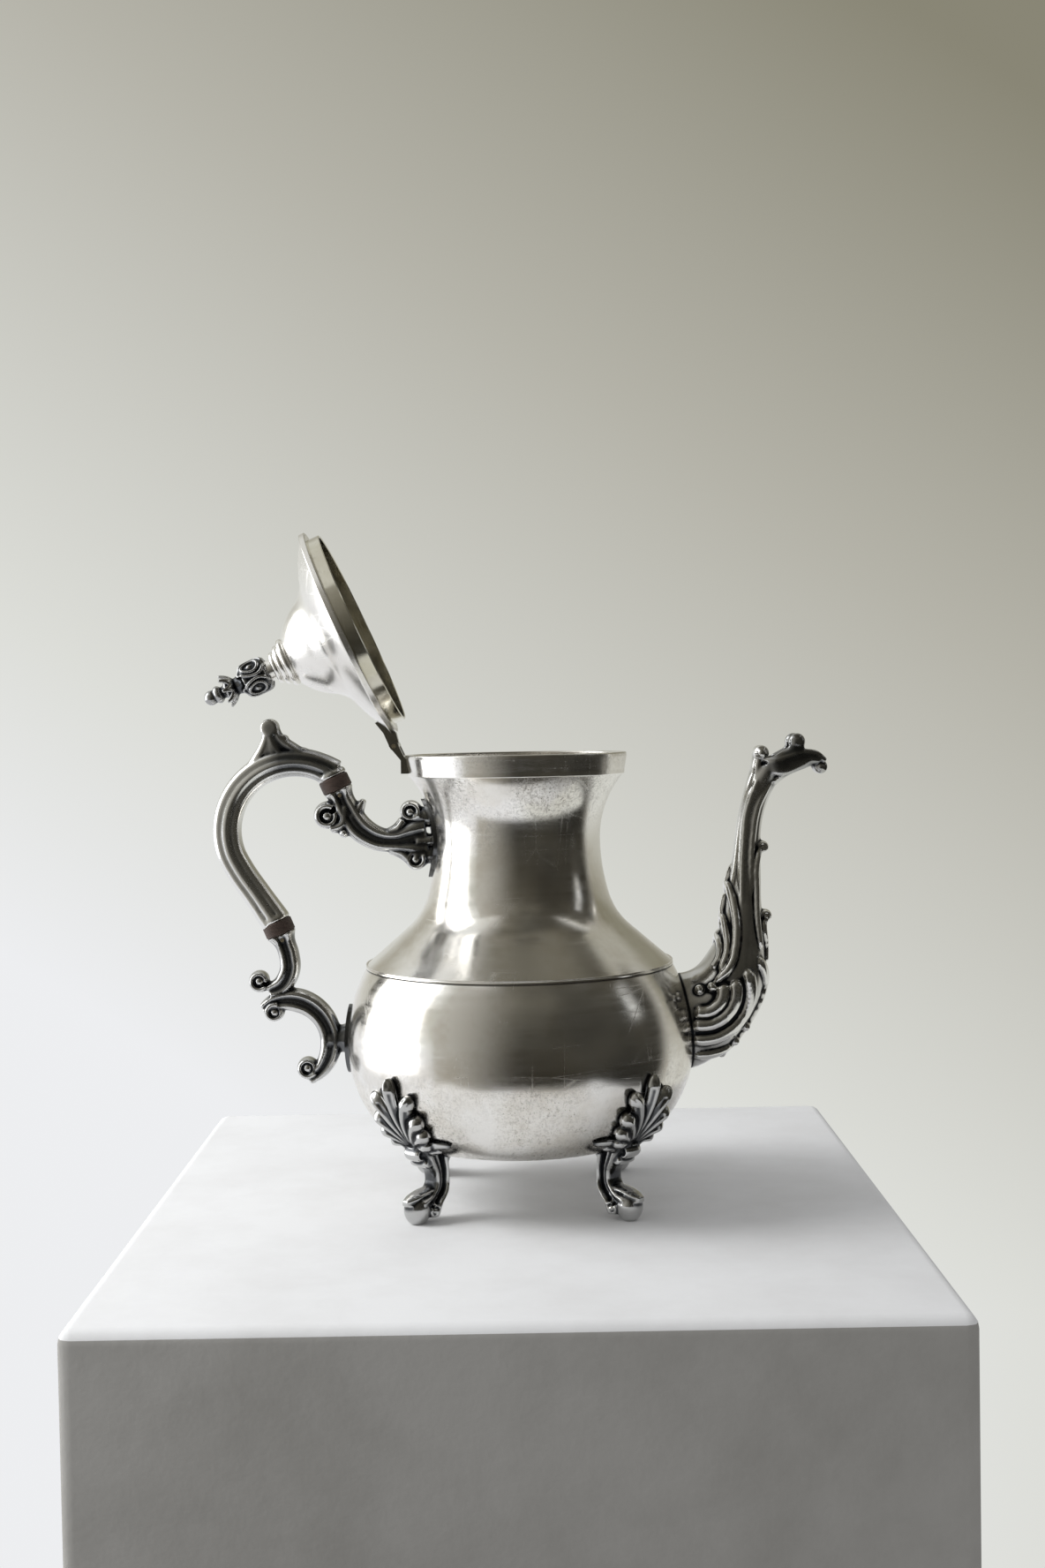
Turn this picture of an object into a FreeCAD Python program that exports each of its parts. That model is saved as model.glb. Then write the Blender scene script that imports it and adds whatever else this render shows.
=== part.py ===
"""Footed silver teapot with a hinged lid, in millimetres.

The pot's axis is Z, the table is at height 0, the spout points along +X and the
handle along -X. The lid stands open against its hinge.
"""
import FreeCAD, Part
import math
import os
import re

import Sketcher
from FreeCAD import Placement, Rotation, Vector

SIZES = (
    ("wall", 1.2, "sheet of the bowl and the neck"),
    ("bottom_height", 24.0, "underside of the bowl"),
    ("belly_height", 64.0, "height of the widest ring of the bowl"),
    ("bowl_radius", 70.6, "bowl at its widest"),
    ("lower_curve", 48.0, "bowl's curve below the belly"),
    ("base_curve", 27.0, "rounding into the flat bottom"),
    ("seam_height", 95.6, "shoulder seam between bowl and neck"),
    ("seam_radius", 62.0, "bowl's edge at the seam"),
    ("seam_overhang", 0.6, "neck's edge beyond the bowl's"),
    ("lap_depth", 3.0, "neck's ring inside the bowl"),
    ("lap_gap", 0.1, "clearance of that ring"),
    ("neck_radius", 33.7, "neck at its narrowest"),
    ("neck_height", 146.0, "height of the narrowest ring"),
    ("throat_share", 1.488, "hollow curve below that ring, as a share of its rise from the seam"),
    ("throat_drop_share", 0.4365, "how far that curve runs down, as the same share"),
    ("shoulder_share", 0.5754, "tighter curve into the shoulder, as the same share"),
    ("neck_top_radius", 43.4, "neck under the mouth band"),
    ("flare_height", 26.5, "neck above its narrowest ring"),
    ("band_height", 8.9, "mouth band"),
    ("band_radius", 45.0, "mouth band at its top edge"),
    ("band_taper", 1.0, "how far the band draws in below"),
    ("band_round", 0.6, "rounding of the band's edges"),
    ("mouth_radius", 42.0, "clear mouth"),
    ("strainer_hole", 1.5, "radius of each strainer hole"),
    ("strainer_pitch", 5.2, "step between rings of strainer holes"),
    ("lid_angle", 114.0, "how far the lid opens, in degrees"),
    ("lid_gap", 0.3, "closed lid above the mouth band"),
    ("lid_wall", 1.0, "sheet of the lid"),
    ("lid_radius", 44.4, "moulded edge of the lid"),
    ("edge_height", 2.4, "moulded edge"),
    ("edge_step", 1.8, "step from the edge to the brim"),
    ("brim_curve", 60.0, "swell of the brim"),
    ("bend_radius", 27.5, "where the brim turns into the bell"),
    ("bend_height", 10.0, "height of that turn"),
    ("bell_radius", 19.6, "foot of the bell"),
    ("bell_height", 16.7, "height of the bell's foot"),
    ("crown_radius", 9.4, "flat crown of the lid"),
    ("crown_height", 27.2, "height of the crown"),
    ("bezel_gap", 1.0, "bezel's clearance in the mouth"),
    ("bezel_depth", 5.0, "bezel below the lid's edge"),
    ("hinge_offset", 4.2, "hinge axis outside the mouth band"),
    ("hinge_rise", 3.8, "hinge axis above the mouth band"),
    ("knuckle_radius", 2.0, "hinge knuckle"),
    ("knuckle_gap", 0.35, "end gap between knuckles"),
    ("hinge_width", 15.0, "all three knuckles"),
    ("middle_knuckle", 6.0, "width of the lid's knuckle"),
    ("leaf_thickness", 1.5, "plate of the hinge leaves"),
    ("leaf_drop", 7.4, "body leaf below the rim"),
    ("leaf_reach", 7.0, "lid leaf over the brim"),
    ("pin_radius", 0.9, "hinge pin"),
    ("pin_clearance", 0.05, "hinge pin in the knuckles"),
    ("ring_height", 2.5, "each ring of the finial collar"),
    ("ring_step", 1.7, "step in from ring to ring"),
    ("collar_waist", 4.3, "hollow above the rings"),
    ("collar_height", 9.8, "finial collar"),
    ("bud_radius", 7.4, "finial's bud"),
    ("bud_height", 15.0, "length of the bud"),
    ("petals", 4.0, "scrolled petals round the bud"),
    ("calyx_waist", 3.1, "waist above the bud"),
    ("calyx_radius", 6.5, "reach of the calyx leaves"),
    ("calyx_leaves", 8.0, "leaves of the calyx"),
    ("petal_lean", 8.0, "lean of the petals, in degrees"),
    ("leaf_lean", 62.0, "lean of the calyx leaves from upright, in degrees"),
    ("tip_height", 14.0, "finial from its waist to its tip"),
    ("stud_radius", 2.0, "finial stud"),
    ("stud_clearance", 0.05, "stud in its holes"),
    ("washer_radius", 5.0, "finial washer"),
    ("washer_thickness", 0.8, "finial washer"),
    ("nut_width", 7.0, "finial nut across its flats"),
    ("nut_thickness", 3.2, "finial nut"),
    ("grip_bow", 27.8, "radius of the grip's bow"),
    ("bow_reach", 90.5, "bow's centre from the pot's axis"),
    ("bow_rise", 5.5, "bow's centre above the neck's narrowest ring"),
    ("bow_run_out", 24.0, "bow beyond the upper joint before its end is cut, in degrees"),
    ("grip_width", 11.5, "grip across, in the bow's plane"),
    ("grip_depth", 11.0, "grip from side to side"),
    ("reed_groove", 3.6, "half depth left between the reeds"),
    ("thumb_height", 12.0, "thumb rest above the grip"),
    ("thumb_lean", 9.4, "thumb rest's roll beyond the bow's centre"),
    ("thumb_roll", 3.8, "radius of the thumb rest's roll"),
    ("thumb_width", 8.0, "thumb rest from side to side"),
    ("upper_joint_reach", 74.9, "grip's upper end from the pot's axis"),
    ("upper_joint_rise", 26.8, "grip's upper end above the neck's narrowest ring"),
    ("upper_joint_tilt", 66.0, "slope of the upper insulator's axis, in degrees"),
    ("lower_joint_reach", 28.6, "grip's lower end beyond the bowl"),
    ("lower_joint_drop", 37.1, "grip's lower end below the bow's centre"),
    ("lower_joint_tilt", 68.0, "slope of the lower insulator's axis, in degrees"),
    ("insulator_radius", 6.2, "insulator ring"),
    ("insulator_length", 5.6, "insulator ring along its axis"),
    ("insulator_chamfer", 0.5, "insulator ring's edges"),
    ("tenon_radius", 3.2, "insulator's tenons"),
    ("tenon_length", 4.5, "insulator's tenons"),
    ("tenon_clearance", 0.05, "tenons in their sockets"),
    ("cross_pin_radius", 0.8, "pins through the tenons"),
    ("cross_pin_length", 9.6, "pins through the tenons"),
    ("upper_patch_rise", 1.5, "middle of the plate on the neck, above the narrowest ring"),
    ("upper_patch_length", 32.0, "plate on the neck, top to bottom"),
    ("upper_patch_width", 20.0, "plate on the neck, side to side"),
    ("lower_patch_rise", 1.0, "middle of the plate on the bowl, above the C scroll's centre"),
    ("lower_patch_length", 28.0, "plate on the bowl, top to bottom"),
    ("lower_patch_width", 19.0, "plate on the bowl, side to side"),
    ("patch_thickness", 1.4, "both plates"),
    ("arm_width", 9.0, "bracket arms in the handle's plane"),
    ("arm_depth", 9.5, "bracket arms from side to side"),
    ("scroll_radius", 17.4, "C scroll of the lower bracket"),
    ("scroll_gap", 7.0, "C scroll's middle line off the bowl"),
    ("scroll_drop", 49.4, "C scroll's centre below the grip's lower end"),
    ("scroll_start", 65.0, "where the C scroll starts round its centre, in degrees"),
    ("scroll_sweep", 180.0, "how far the C scroll runs, in degrees"),
    ("volute_radius", 4.9, "larger volutes of the brackets"),
    ("volute_width", 10.5, "volutes from side to side"),
    ("spout_wall", 1.4, "wall of the spout"),
    ("spout_root_height", 71.0, "middle of the spout's root"),
    ("spout_root_length", 40.5, "spout's root, top to bottom"),
    ("spout_root_width", 32.0, "spout's root, side to side"),
    ("spout_root_tilt", 6.0, "slope of the spout at its root, in degrees"),
    ("spout_belly_reach", 18.0, "swelling of the spout, beyond the bowl"),
    ("spout_belly_rise", 18.5, "that place above the root"),
    ("spout_belly_width", 31.5, "spout across its swelling"),
    ("spout_belly_tilt", 36.0, "slope of the spout there, in degrees"),
    ("spout_waist_reach", 22.0, "spout above its swelling, beyond the bowl"),
    ("spout_waist_rise", 56.0, "that place above the root"),
    ("spout_waist_width", 14.6, "spout there"),
    ("spout_waist_tilt", 62.0, "slope of the spout there, in degrees"),
    ("spout_neck_reach", 26.4, "narrowest place of the spout, beyond the bowl"),
    ("spout_neck_rise", 90.0, "that place above the root"),
    ("spout_neck_width", 10.6, "spout there"),
    ("spout_neck_tilt", 75.0, "slope of the spout there, in degrees"),
    ("spout_throat_reach", 30.2, "spout below its mouth, beyond the bowl"),
    ("spout_throat_rise", 99.0, "that place above the root"),
    ("spout_throat_width", 12.4, "spout there"),
    ("spout_throat_tilt", 68.0, "slope of the spout there, in degrees"),
    ("spout_mouth_reach", 38.0, "middle of the spout's mouth, beyond the bowl"),
    ("spout_mouth_rise", 107.0, "mouth above the root"),
    ("spout_mouth_length", 18.4, "mouth from back to front"),
    ("spout_mouth_width", 15.0, "mouth from side to side"),
    ("spout_mouth_tilt", 101.0, "slope of the spout there, in degrees"),
    ("spout_lobes", 14.0, "gadroons round the swelling"),
    ("gadroon_depth", 1.3, "hollow between the gadroons"),
    ("lip_roll", 3.2, "rolls at the mouth of the spout"),
    ("lip_reach", 17.0, "beak's end beyond the middle of the mouth"),
    ("toe_inset", 11.9, "toe's contact inside the bowl's widest ring"),
    ("toe_radius", 6.3, "ball of the toe"),
    ("toe_flat", 3.0, "radius of the flat under the toe"),
    ("ankle_inset", 22.2, "leg's narrowest place inside the bowl's widest ring"),
    ("ankle_height", 16.5, "height of that place"),
    ("ankle_width", 7.6, "leg from side to side there"),
    ("ankle_depth", 5.6, "leg from front to back there"),
    ("knee_height", 31.0, "height of the shell's root"),
    ("knee_width", 15.0, "leg from side to side under the shell"),
    ("shell_length", 27.0, "shell's middle lobe"),
    ("shell_lobes", 9.0, "lobes of the shell"),
    ("shell_spread", 128.0, "angle that the shell's lobes fan over"),
    ("lobe_radius", 3.3, "rounded end of a shell lobe"),
    ("leg_reeds", 10.0, "reeds round the leg"),
)
NAMES = {row[0] for row in SIZES}
UP = Vector(0, 0, 1)
SIDE = Vector(0, 1, 0)
SEAM_TURN = 30  # turns a ball's seam away from the petals on it
FOOT_ANGLES = {
    "foot_rear_right": 45,
    "foot_rear_left": 135,
    "foot_front_left": 225,
    "foot_front_right": 315,
}

doc = FreeCAD.newDocument("teapot")
sheet = doc.addObject("Spreadsheet::Sheet", "sizes")
for row, (alias, value, note) in enumerate(SIZES, 1):
    sheet.set(f"A{row}", note)
    sheet.set(f"B{row}", str(value))
    sheet.setAlias(f"B{row}", alias)
doc.recompute()


def number(text):
    """Value of a formula written with the sheet's names."""
    return float(sheet.evalExpression(text))


def bind(item, prop, text):
    """Tie a property to a formula of the sheet's names."""
    named = re.sub(r"[a-z_]+", lambda word: f"sizes.{word[0]}" if word[0] in NAMES else word[0], text)
    item.setExpression(prop, named)


# Sketches and features

def new_body(name):
    """Empty body whose label names the sub-part."""
    body = doc.addObject("PartDesign::Body", name)
    body.Label = name
    return body


def new_sketch(body, name, role="XZ_Plane"):
    """Sketch on one of the body's own planes."""
    sketch = body.newObject("Sketcher::SketchObject", name)
    plane = next(item for item in body.Origin.OriginFeatures if item.Role == role)
    sketch.AttachmentSupport = [(plane, "")]
    sketch.MapMode = "FlatFace"
    return sketch


def bound_constraint(sketch, text, *terms):
    """Dimension whose value is a formula."""
    index = sketch.addConstraint(Sketcher.Constraint(*terms, number(text)))
    bind(sketch, f"Constraints[{index}]", text)


def pin_point(sketch, curve, end, across, up):
    """Hold an end of a curve at a place given by two formulas."""
    for kind, text, axis in (("DistanceX", across, -2), ("DistanceY", up, -1)):
        if text == "0":
            sketch.addConstraint(Sketcher.Constraint("PointOnObject", curve, end, axis))
        else:
            bound_constraint(sketch, text, kind, curve, end)


def add_arc(sketch, first, last, radius, bow):
    """Arc that bulges to the left of its travel for bow 1, to the right for bow -1."""
    chord = last - first
    half = chord.Length / 2
    left = Vector(-chord.y, chord.x, 0).normalize()
    centre = (first + last) / 2 - left * (bow * math.sqrt(max(radius**2 - half**2, 0)))
    start, stop = (last, first) if bow > 0 else (first, last)
    angles = [math.atan2(point.y - centre.y, point.x - centre.x) for point in (start, stop)]
    circle = Part.Circle(centre, UP, radius)
    curve = sketch.addGeometry(Part.ArcOfCircle(circle, *angles), False)
    return (curve, 2, 1) if bow > 0 else (curve, 1, 2)


def draw(sketch, stops, closed=True):
    """Draw an outline through stops (across, up, edge, joint).

    The edge that leaves a stop is straight for None, or (radius, bow) for an arc
    whose radius is a formula, or None where its joints settle it. The joint's words:
    free leaves the stop to its joints, high holds its height alone, smooth joins the
    edges tangentially, level keeps the arc's centre at the stop's height, flat keeps
    the edge horizontal.
    """
    points = [Vector(number(stop[0]), number(stop[1]), 0) for stop in stops]
    count = len(stops) if closed else len(stops) - 1
    curves = []
    for index in range(count):
        first = points[index]
        last = points[(index + 1) % len(points)]
        edge = stops[index][2]
        if edge is None:
            curves.append((sketch.addGeometry(Part.LineSegment(first, last), False), 1, 2))
            continue
        radius, bow = edge
        size = number(radius) if radius else (last - first).Length
        curves.append(add_arc(sketch, first, last, size, bow))
        if radius:
            bound_constraint(sketch, radius, "Radius", curves[-1][0])
    for index in range(count):
        across, up, _, joint = stops[index]
        curve, start, _ = curves[index]
        if index or closed:
            before, _, end = curves[index - 1]
            kind = "Tangent" if "smooth" in joint else "Coincident"
            sketch.addConstraint(Sketcher.Constraint(kind, before, end, curve, start))
        if "level" in joint:
            sketch.addConstraint(Sketcher.Constraint("Horizontal", curve, start, curve, 3))
        if "flat" in joint:
            sketch.addConstraint(Sketcher.Constraint("Horizontal", curve))
        if "high" in joint:
            bound_constraint(sketch, up, "DistanceY", curve, start)
        elif "free" not in joint:
            pin_point(sketch, curve, start, across, up)
    if not closed:
        curve, _, end = curves[-1]
        pin_point(sketch, curve, end, stops[-1][0], stops[-1][1])


def turn(body, name, stops, kind="Revolution", role="XZ_Plane"):
    """Turn an outline, drawn on one of the body's planes, about the pot's axis."""
    sketch = new_sketch(body, f"{name}_outline", role)
    draw(sketch, stops)
    feature = body.newObject(f"PartDesign::{kind}", name)
    feature.Profile = sketch
    feature.ReferenceAxis = (sketch, ["V_Axis"])
    feature.Angle = 360
    doc.recompute()
    return feature


def hollow(body, solid, wall, heights):
    """Hollow a turned solid inwards, open at its flat faces at these heights."""
    levels = [number(text) for text in heights]
    open_faces = [
        f"Face{index}"
        for index, face in enumerate(solid.Shape.Faces, 1)
        if isinstance(face.Surface, Part.Plane)
        and any(abs(face.CenterOfMass.z - level) < 1e-6 for level in levels)
    ]
    shell = body.newObject("PartDesign::Thickness", "hollow")
    shell.Base = (solid, open_faces)
    bind(shell, "Value", wall)
    shell.Reversed = True
    doc.recompute()
    return shell


def pad(body, name, sketch, length, kind="Pad"):
    """Pad or pocket a sketch evenly to both sides of its plane."""
    feature = body.newObject(f"PartDesign::{kind}", name)
    feature.Profile = sketch
    bind(feature, "Length", length)
    feature.Midplane = True
    doc.recompute()
    return feature


def across_hole(body, name, radius, across, up, length):
    """Round hole along Y through a body."""
    sketch = new_sketch(body, f"{name}_outline")
    centre = Vector(number(across), number(up), 0)
    circle = sketch.addGeometry(Part.Circle(centre, UP, number(radius)), False)
    pin_point(sketch, circle, 3, across, up)
    bound_constraint(sketch, radius, "Radius", circle)
    return pad(body, name, sketch, length, "Pocket")


def bore(body, name, radius, height, placement):
    """Cylindrical hole along the Z of a placement."""
    hole = body.newObject("PartDesign::SubtractiveCylinder", name)
    bind(hole, "Radius", radius)
    bind(hole, "Height", height)
    hole.Placement = placement
    doc.recompute()
    return hole


# Free forms of the castings

def smooth(stations, count):
    """Rows at even steps along a line of stations, on cubic curves through them."""
    knots = [0.0]
    for before, after in zip(stations, stations[1:]):
        knots.append(knots[-1] + math.hypot(after[0] - before[0], after[1] - before[1]))
    final = len(stations) - 1
    slopes = []
    for index in range(len(stations)):
        low = max(index - 1, 0)
        high = min(index + 1, final)
        gap = knots[high] - knots[low]
        slopes.append([(after - before) / gap for before, after in zip(stations[low], stations[high])])
    rows = []
    for step in range(count):
        place = knots[-1] * step / (count - 1)
        index = max(rank for rank in range(final) if knots[rank] <= place)
        gap = knots[index + 1] - knots[index]
        share = (place - knots[index]) / gap
        rest = 1 - share
        rows.append([
            first * rest**2 * (1 + 2 * share)
            + last * share**2 * (3 - 2 * share)
            + gap * share * rest * (rest * leave - share * arrive)
            for first, last, leave, arrive in zip(
                stations[index], stations[index + 1], slopes[index], slopes[index + 1])
        ])
    return rows


def tube(stations, count=12, lobes=0, one_sided=False):
    """Casting through oval sections (x, z, tilt, half width, half depth, groove).

    A section lies across its tilt, in degrees from X towards Z. Its width is in the XZ
    plane, its depth along Y, and its groove is the hollow between lobes, which fade
    towards the back where they are one-sided.
    """
    steps = max(12, 4 * lobes)
    drawn_in = (2 + math.cos(2 * math.pi / steps)) / 3
    flattened = (2 + math.cos(2 * math.pi * lobes / steps)) / 3
    poles = []
    for x, z, tilt, width, depth, groove in smooth(stations, count):
        slope = math.radians(tilt)
        across = Vector(math.sin(slope), 0, -math.cos(slope))
        row = []
        for step in range(steps):
            angle = 2 * math.pi * step / steps
            half = groove / 2 * (0.5 + 0.5 * math.cos(angle) if one_sided else 1)
            swing = half * (math.cos(lobes * angle) / flattened - 1) if lobes else 0
            wide = across * ((width / drawn_in + swing) * math.cos(angle))
            deep = SIDE * ((depth / drawn_in + swing) * math.sin(angle))
            row.append(Vector(x, 0, z) + wide + deep)
        poles.append(row)
    surface = Part.BSplineSurface()
    lengthwise = [4] + [1] * (count - 4) + [4]
    around_it = [1] * (steps + 1)
    surface.buildFromPolesMultsKnots(
        poles, lengthwise, around_it,
        [float(knot) for knot in range(len(lengthwise))],
        [float(knot) for knot in range(len(around_it))],
        False, True, 3, 3)
    side = surface.toShape()
    ends = [Part.Face(Part.Wire(edge)) for edge in side.Edges if edge.isClosed()]
    skin = Part.Compound([side] + ends)
    skin.sewShape(1e-4)
    solid = Part.Solid(skin.Shells[0])
    solid.fix(1e-5, 1e-5, 1e-5)
    if solid.Volume < 0:
        solid.reverse()
    return solid


def bezier(points, share):
    """Point and direction at a share of a cubic curve."""
    first, second, third, last = points
    rest = 1 - share
    place = first * rest**3 + last * share**3
    place += (second * rest + third * share) * (3 * share * rest)
    along = (second - first) * rest**2 + (last - third) * share**2
    along += (third - second) * (2 * share * rest)
    return place, along.normalize()


def beside(points, share, offset):
    """Point beside a cubic curve in the XZ plane, to the left of its travel."""
    place, along = bezier(points, share)
    return place + Vector(-along.z, 0, along.x) * offset


def bezier_arm(points, widths, depths):
    """Arm along a cubic curve, with half widths and half depths at even steps."""
    stations = []
    for step, (width, depth) in enumerate(zip(widths, depths)):
        place, along = bezier(points, step / (len(widths) - 1))
        tilt = math.degrees(math.atan2(along.z, along.x))
        if stations:
            tilt += 360 * round((stations[-1][2] - tilt) / 360)
        stations.append((place.x, place.z, tilt, width, depth, 0.0))
    return tube(stations)


def round_about(centre, radius, angle):
    """Point round a centre in the XZ plane, at an angle in degrees."""
    turned = math.radians(angle)
    return centre + Vector(radius * math.cos(turned), 0, radius * math.sin(turned))


def arc_arm(centre, radius, first, last, widths, depth):
    """Arm round a centre in the XZ plane, between two angles in degrees."""
    stations = []
    for step, width in enumerate(widths):
        angle = first + (last - first) * step / (len(widths) - 1)
        place = round_about(centre, radius, angle)
        stations.append((place.x, place.z, angle + 90, width, depth, 0.0))
    return tube(stations, 16)


def volute(centre, radius, width):
    """Scroll end seen along Y: a rounded rim, a hollow and a raised eye on each face."""
    half = width / 2
    rim = 0.36 * radius
    eye = 0.42 * radius
    profile = [
        Vector(0, half, 0),
        Vector(eye * 0.7, half - 0.3 * eye, 0),
        Vector(eye, half - rim, 0),
        Vector(radius - 2 * rim * 0.8, half - rim, 0),
        Vector(radius - rim * 0.6, half - 0.15 * rim, 0),
        Vector(radius, half - rim * 1.2, 0),
    ]
    mirrored = [Vector(point.x, -point.y, 0) for point in reversed(profile)]
    face = Part.Face(Part.makePolygon(profile + mirrored + [profile[0]]))
    solid = face.revolve(Vector(), SIDE, 360)
    solid.translate(centre)
    return solid


def cylinder(centre, axis, radius, length):
    """Round bar whose middle is at a centre."""
    return Part.makeCylinder(radius, length, centre - axis * (length / 2), axis)


def cast(name, shape, placement=Placement()):
    """Casting as a sub-part: its one solid, at its placement."""
    if len(shape.Solids) != 1:
        raise RuntimeError(f"{name} is in {len(shape.Solids)} pieces")
    item = doc.addObject("Part::Feature", name)
    item.Label = name
    item.Shape = shape.Solids[0]
    item.Placement = placement
    return item


# Places that several sub-parts share

HANDLE_SIDE = Placement(Vector(), Rotation(UP, 180))
NECK_TOP = "(neck_height + flare_height)"
RIM = "(neck_height + flare_height + band_height)"
LID_BASE = f"{RIM} + lid_gap"
HINGE_REACH = "band_radius + hinge_offset"
HINGE_HEIGHT = f"{RIM} + hinge_rise"
BEZEL_RADIUS = "mouth_radius - bezel_gap"
PIN_HOLE = "pin_radius + pin_clearance"
STUD_HOLE = "stud_radius + stud_clearance"
CROWN = f"{LID_BASE} + crown_height"
COLLAR_TOP = f"{CROWN} + collar_height"
BOW_HEIGHT = "(neck_height + bow_rise)"
GRIP_LOW = f"({BOW_HEIGHT} - lower_joint_drop)"
SCROLL_HEIGHT = f"({GRIP_LOW} - scroll_drop)"
UPPER_PATCH = "neck_height + upper_patch_rise"
LOWER_PATCH = f"{SCROLL_HEIGHT} + lower_patch_rise"
hinge_point = Vector(-number(HINGE_REACH), 0, number(HINGE_HEIGHT))
LID_OPEN = Placement(Vector(), Rotation(-SIDE, number("lid_angle")), hinge_point)


class Joint:
    """End of the grip: its place and the insulator's axis, seen with the handle along +X."""

    def __init__(self, reach, height, tilt):
        self.reach = reach
        self.height = height
        self.tilt = tilt
        tilt = math.radians(number(self.tilt))
        self.axis = Vector(math.cos(tilt), 0, math.sin(tilt))
        self.grip_end = Vector(number(self.reach), 0, number(self.height))
        self.bracket_end = self.grip_end - self.axis * number("insulator_length")
        self.turned = Rotation(UP, self.axis)

    def place(self, along, beside="0"):
        """Formulas of a point that lies along and beside the insulator's axis from the grip's end."""
        across = f"{self.reach} + ({along}) * cos({self.tilt}) + ({beside}) * sin({self.tilt})"
        up = f"{self.height} + ({along}) * sin({self.tilt}) - ({beside}) * cos({self.tilt})"
        return across, up

    def point(self, along):
        """Point along the insulator's axis from the grip's end."""
        return self.grip_end + self.axis * number(along)


UPPER = Joint("upper_joint_reach", "(neck_height + upper_joint_rise)", "upper_joint_tilt")
LOWER = Joint("(bowl_radius + lower_joint_reach)", GRIP_LOW, "lower_joint_tilt")
GRIP_PIN = "tenon_length / 2"
BRACKET_PIN = "-insulator_length - tenon_length / 2"
SOCKET_RADIUS = "tenon_radius + tenon_clearance"
SOCKET_DEPTH = "tenon_length + tenon_clearance"


# Vessel

def make_bowl():
    """Raised bowl, with strainer holes behind the spout."""
    body = new_body("bowl")
    middle = "bowl_radius - lower_curve"
    solid = turn(body, "raised", (
        ("0", "bottom_height", None, "flat"),
        (f"{middle} + 0.3 * base_curve", "bottom_height", ("base_curve", -1), "smooth free"),
        (f"{middle} + 0.6 * lower_curve", "belly_height - 0.75 * lower_curve",
         ("lower_curve", -1), "smooth free"),
        ("bowl_radius", "belly_height", (None, -1), "smooth level"),
        ("seam_radius", "seam_height", None, ""),
        ("0", "seam_height", None, ""),
    ), role="YZ_Plane")
    hollow(body, solid, "wall", ("seam_height",))
    strain = new_sketch(body, "strainer_outline", "YZ_Plane")
    first = None
    for rank in range(3):
        for step in range(max(1, 6 * rank)):
            angle = 60 / max(rank, 1) * step
            across = f"strainer_pitch * {rank} * cos({angle})"
            up = f"spout_root_height + strainer_pitch * {rank} * sin({angle})"
            centre = Vector(number(across), number(up), 0)
            circle = strain.addGeometry(Part.Circle(centre, UP, number("strainer_hole")), False)
            if first is None:
                first = circle
                bound_constraint(strain, "strainer_hole", "Radius", circle)
            else:
                strain.addConstraint(Sketcher.Constraint("Equal", first, circle))
            bound_constraint(strain, across, "DistanceX", circle, 3)
            bound_constraint(strain, up, "DistanceY", circle, 3)
    before = body.Shape.Volume
    holes = body.newObject("PartDesign::Pocket", "strainer")
    holes.Profile = strain
    holes.Type = "ThroughAll"
    holes.Reversed = True
    doc.recompute()
    if not body.Shape.Volume < before:
        raise RuntimeError("the strainer holes cut nothing")
    return body, solid.Shape


def make_neck():
    """Waisted neck, with a ring that laps into the bowl."""
    body = new_body("neck")
    rise = "(neck_height - seam_height)"
    shoulder = f"shoulder_share * {rise}"
    solid = turn(body, "drawn", (
        ("0", "seam_height", None, ""),
        ("seam_radius + seam_overhang", "seam_height", None, ""),
        (f"neck_radius + 0.4 * {shoulder}", f"neck_height - 1.2 * {shoulder}",
         (shoulder, 1), "smooth free"),
        (f"neck_radius + 0.1 * {shoulder}", f"neck_height - throat_drop_share * {rise}",
         (f"throat_share * {rise}", 1), "smooth high"),
        ("neck_radius", "neck_height", (None, 1), "smooth level"),
        ("neck_top_radius", NECK_TOP, None, ""),
        ("0", NECK_TOP, None, ""),
    ))
    hollow(body, solid, "wall", ("seam_height", NECK_TOP))
    outer = "seam_radius - 1.6 * wall - lap_gap"
    turn(body, "lap", (
        (f"{outer} - wall", "seam_height - lap_depth", None, ""),
        (outer, "seam_height - lap_depth", None, ""),
        (outer, "seam_height + 1.2 * wall", None, ""),
        (f"{outer} - wall", "seam_height + 1.2 * wall", None, ""),
    ))
    return body, solid.Shape


def make_mouth_band():
    """Moulded band that stiffens the mouth."""
    body = new_body("mouth_band")
    low = NECK_TOP
    narrow = "band_radius - band_taper"
    turn(body, "moulding", (
        ("mouth_radius", low, None, ""),
        (f"{narrow} - band_round", low, ("band_round", -1), ""),
        (narrow, f"{low} + band_round", None, ""),
        ("band_radius", f"{RIM} - band_round", ("band_round", -1), ""),
        ("band_radius - band_round", RIM, None, ""),
        ("mouth_radius + band_round", RIM, ("band_round", -1), ""),
        ("mouth_radius", f"{RIM} - band_round", None, ""),
    ))
    return body


# Lid

def lid_outline():
    """Outside of the closed lid, from its edge to its crown."""
    brim = "lid_radius - edge_step"
    edge = f"{LID_BASE} + edge_height"
    return (
        ("0", LID_BASE, None, ""),
        ("lid_radius", LID_BASE, None, ""),
        ("lid_radius", edge, None, ""),
        (brim, edge, ("brim_curve", -1), ""),
        ("bend_radius", f"{LID_BASE} + bend_height", (None, 1), "smooth"),
        ("bell_radius", f"{LID_BASE} + bell_height", (None, -1), "smooth"),
        ("crown_radius", CROWN, None, ""),
        ("0", CROWN, None, ""),
    )


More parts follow.
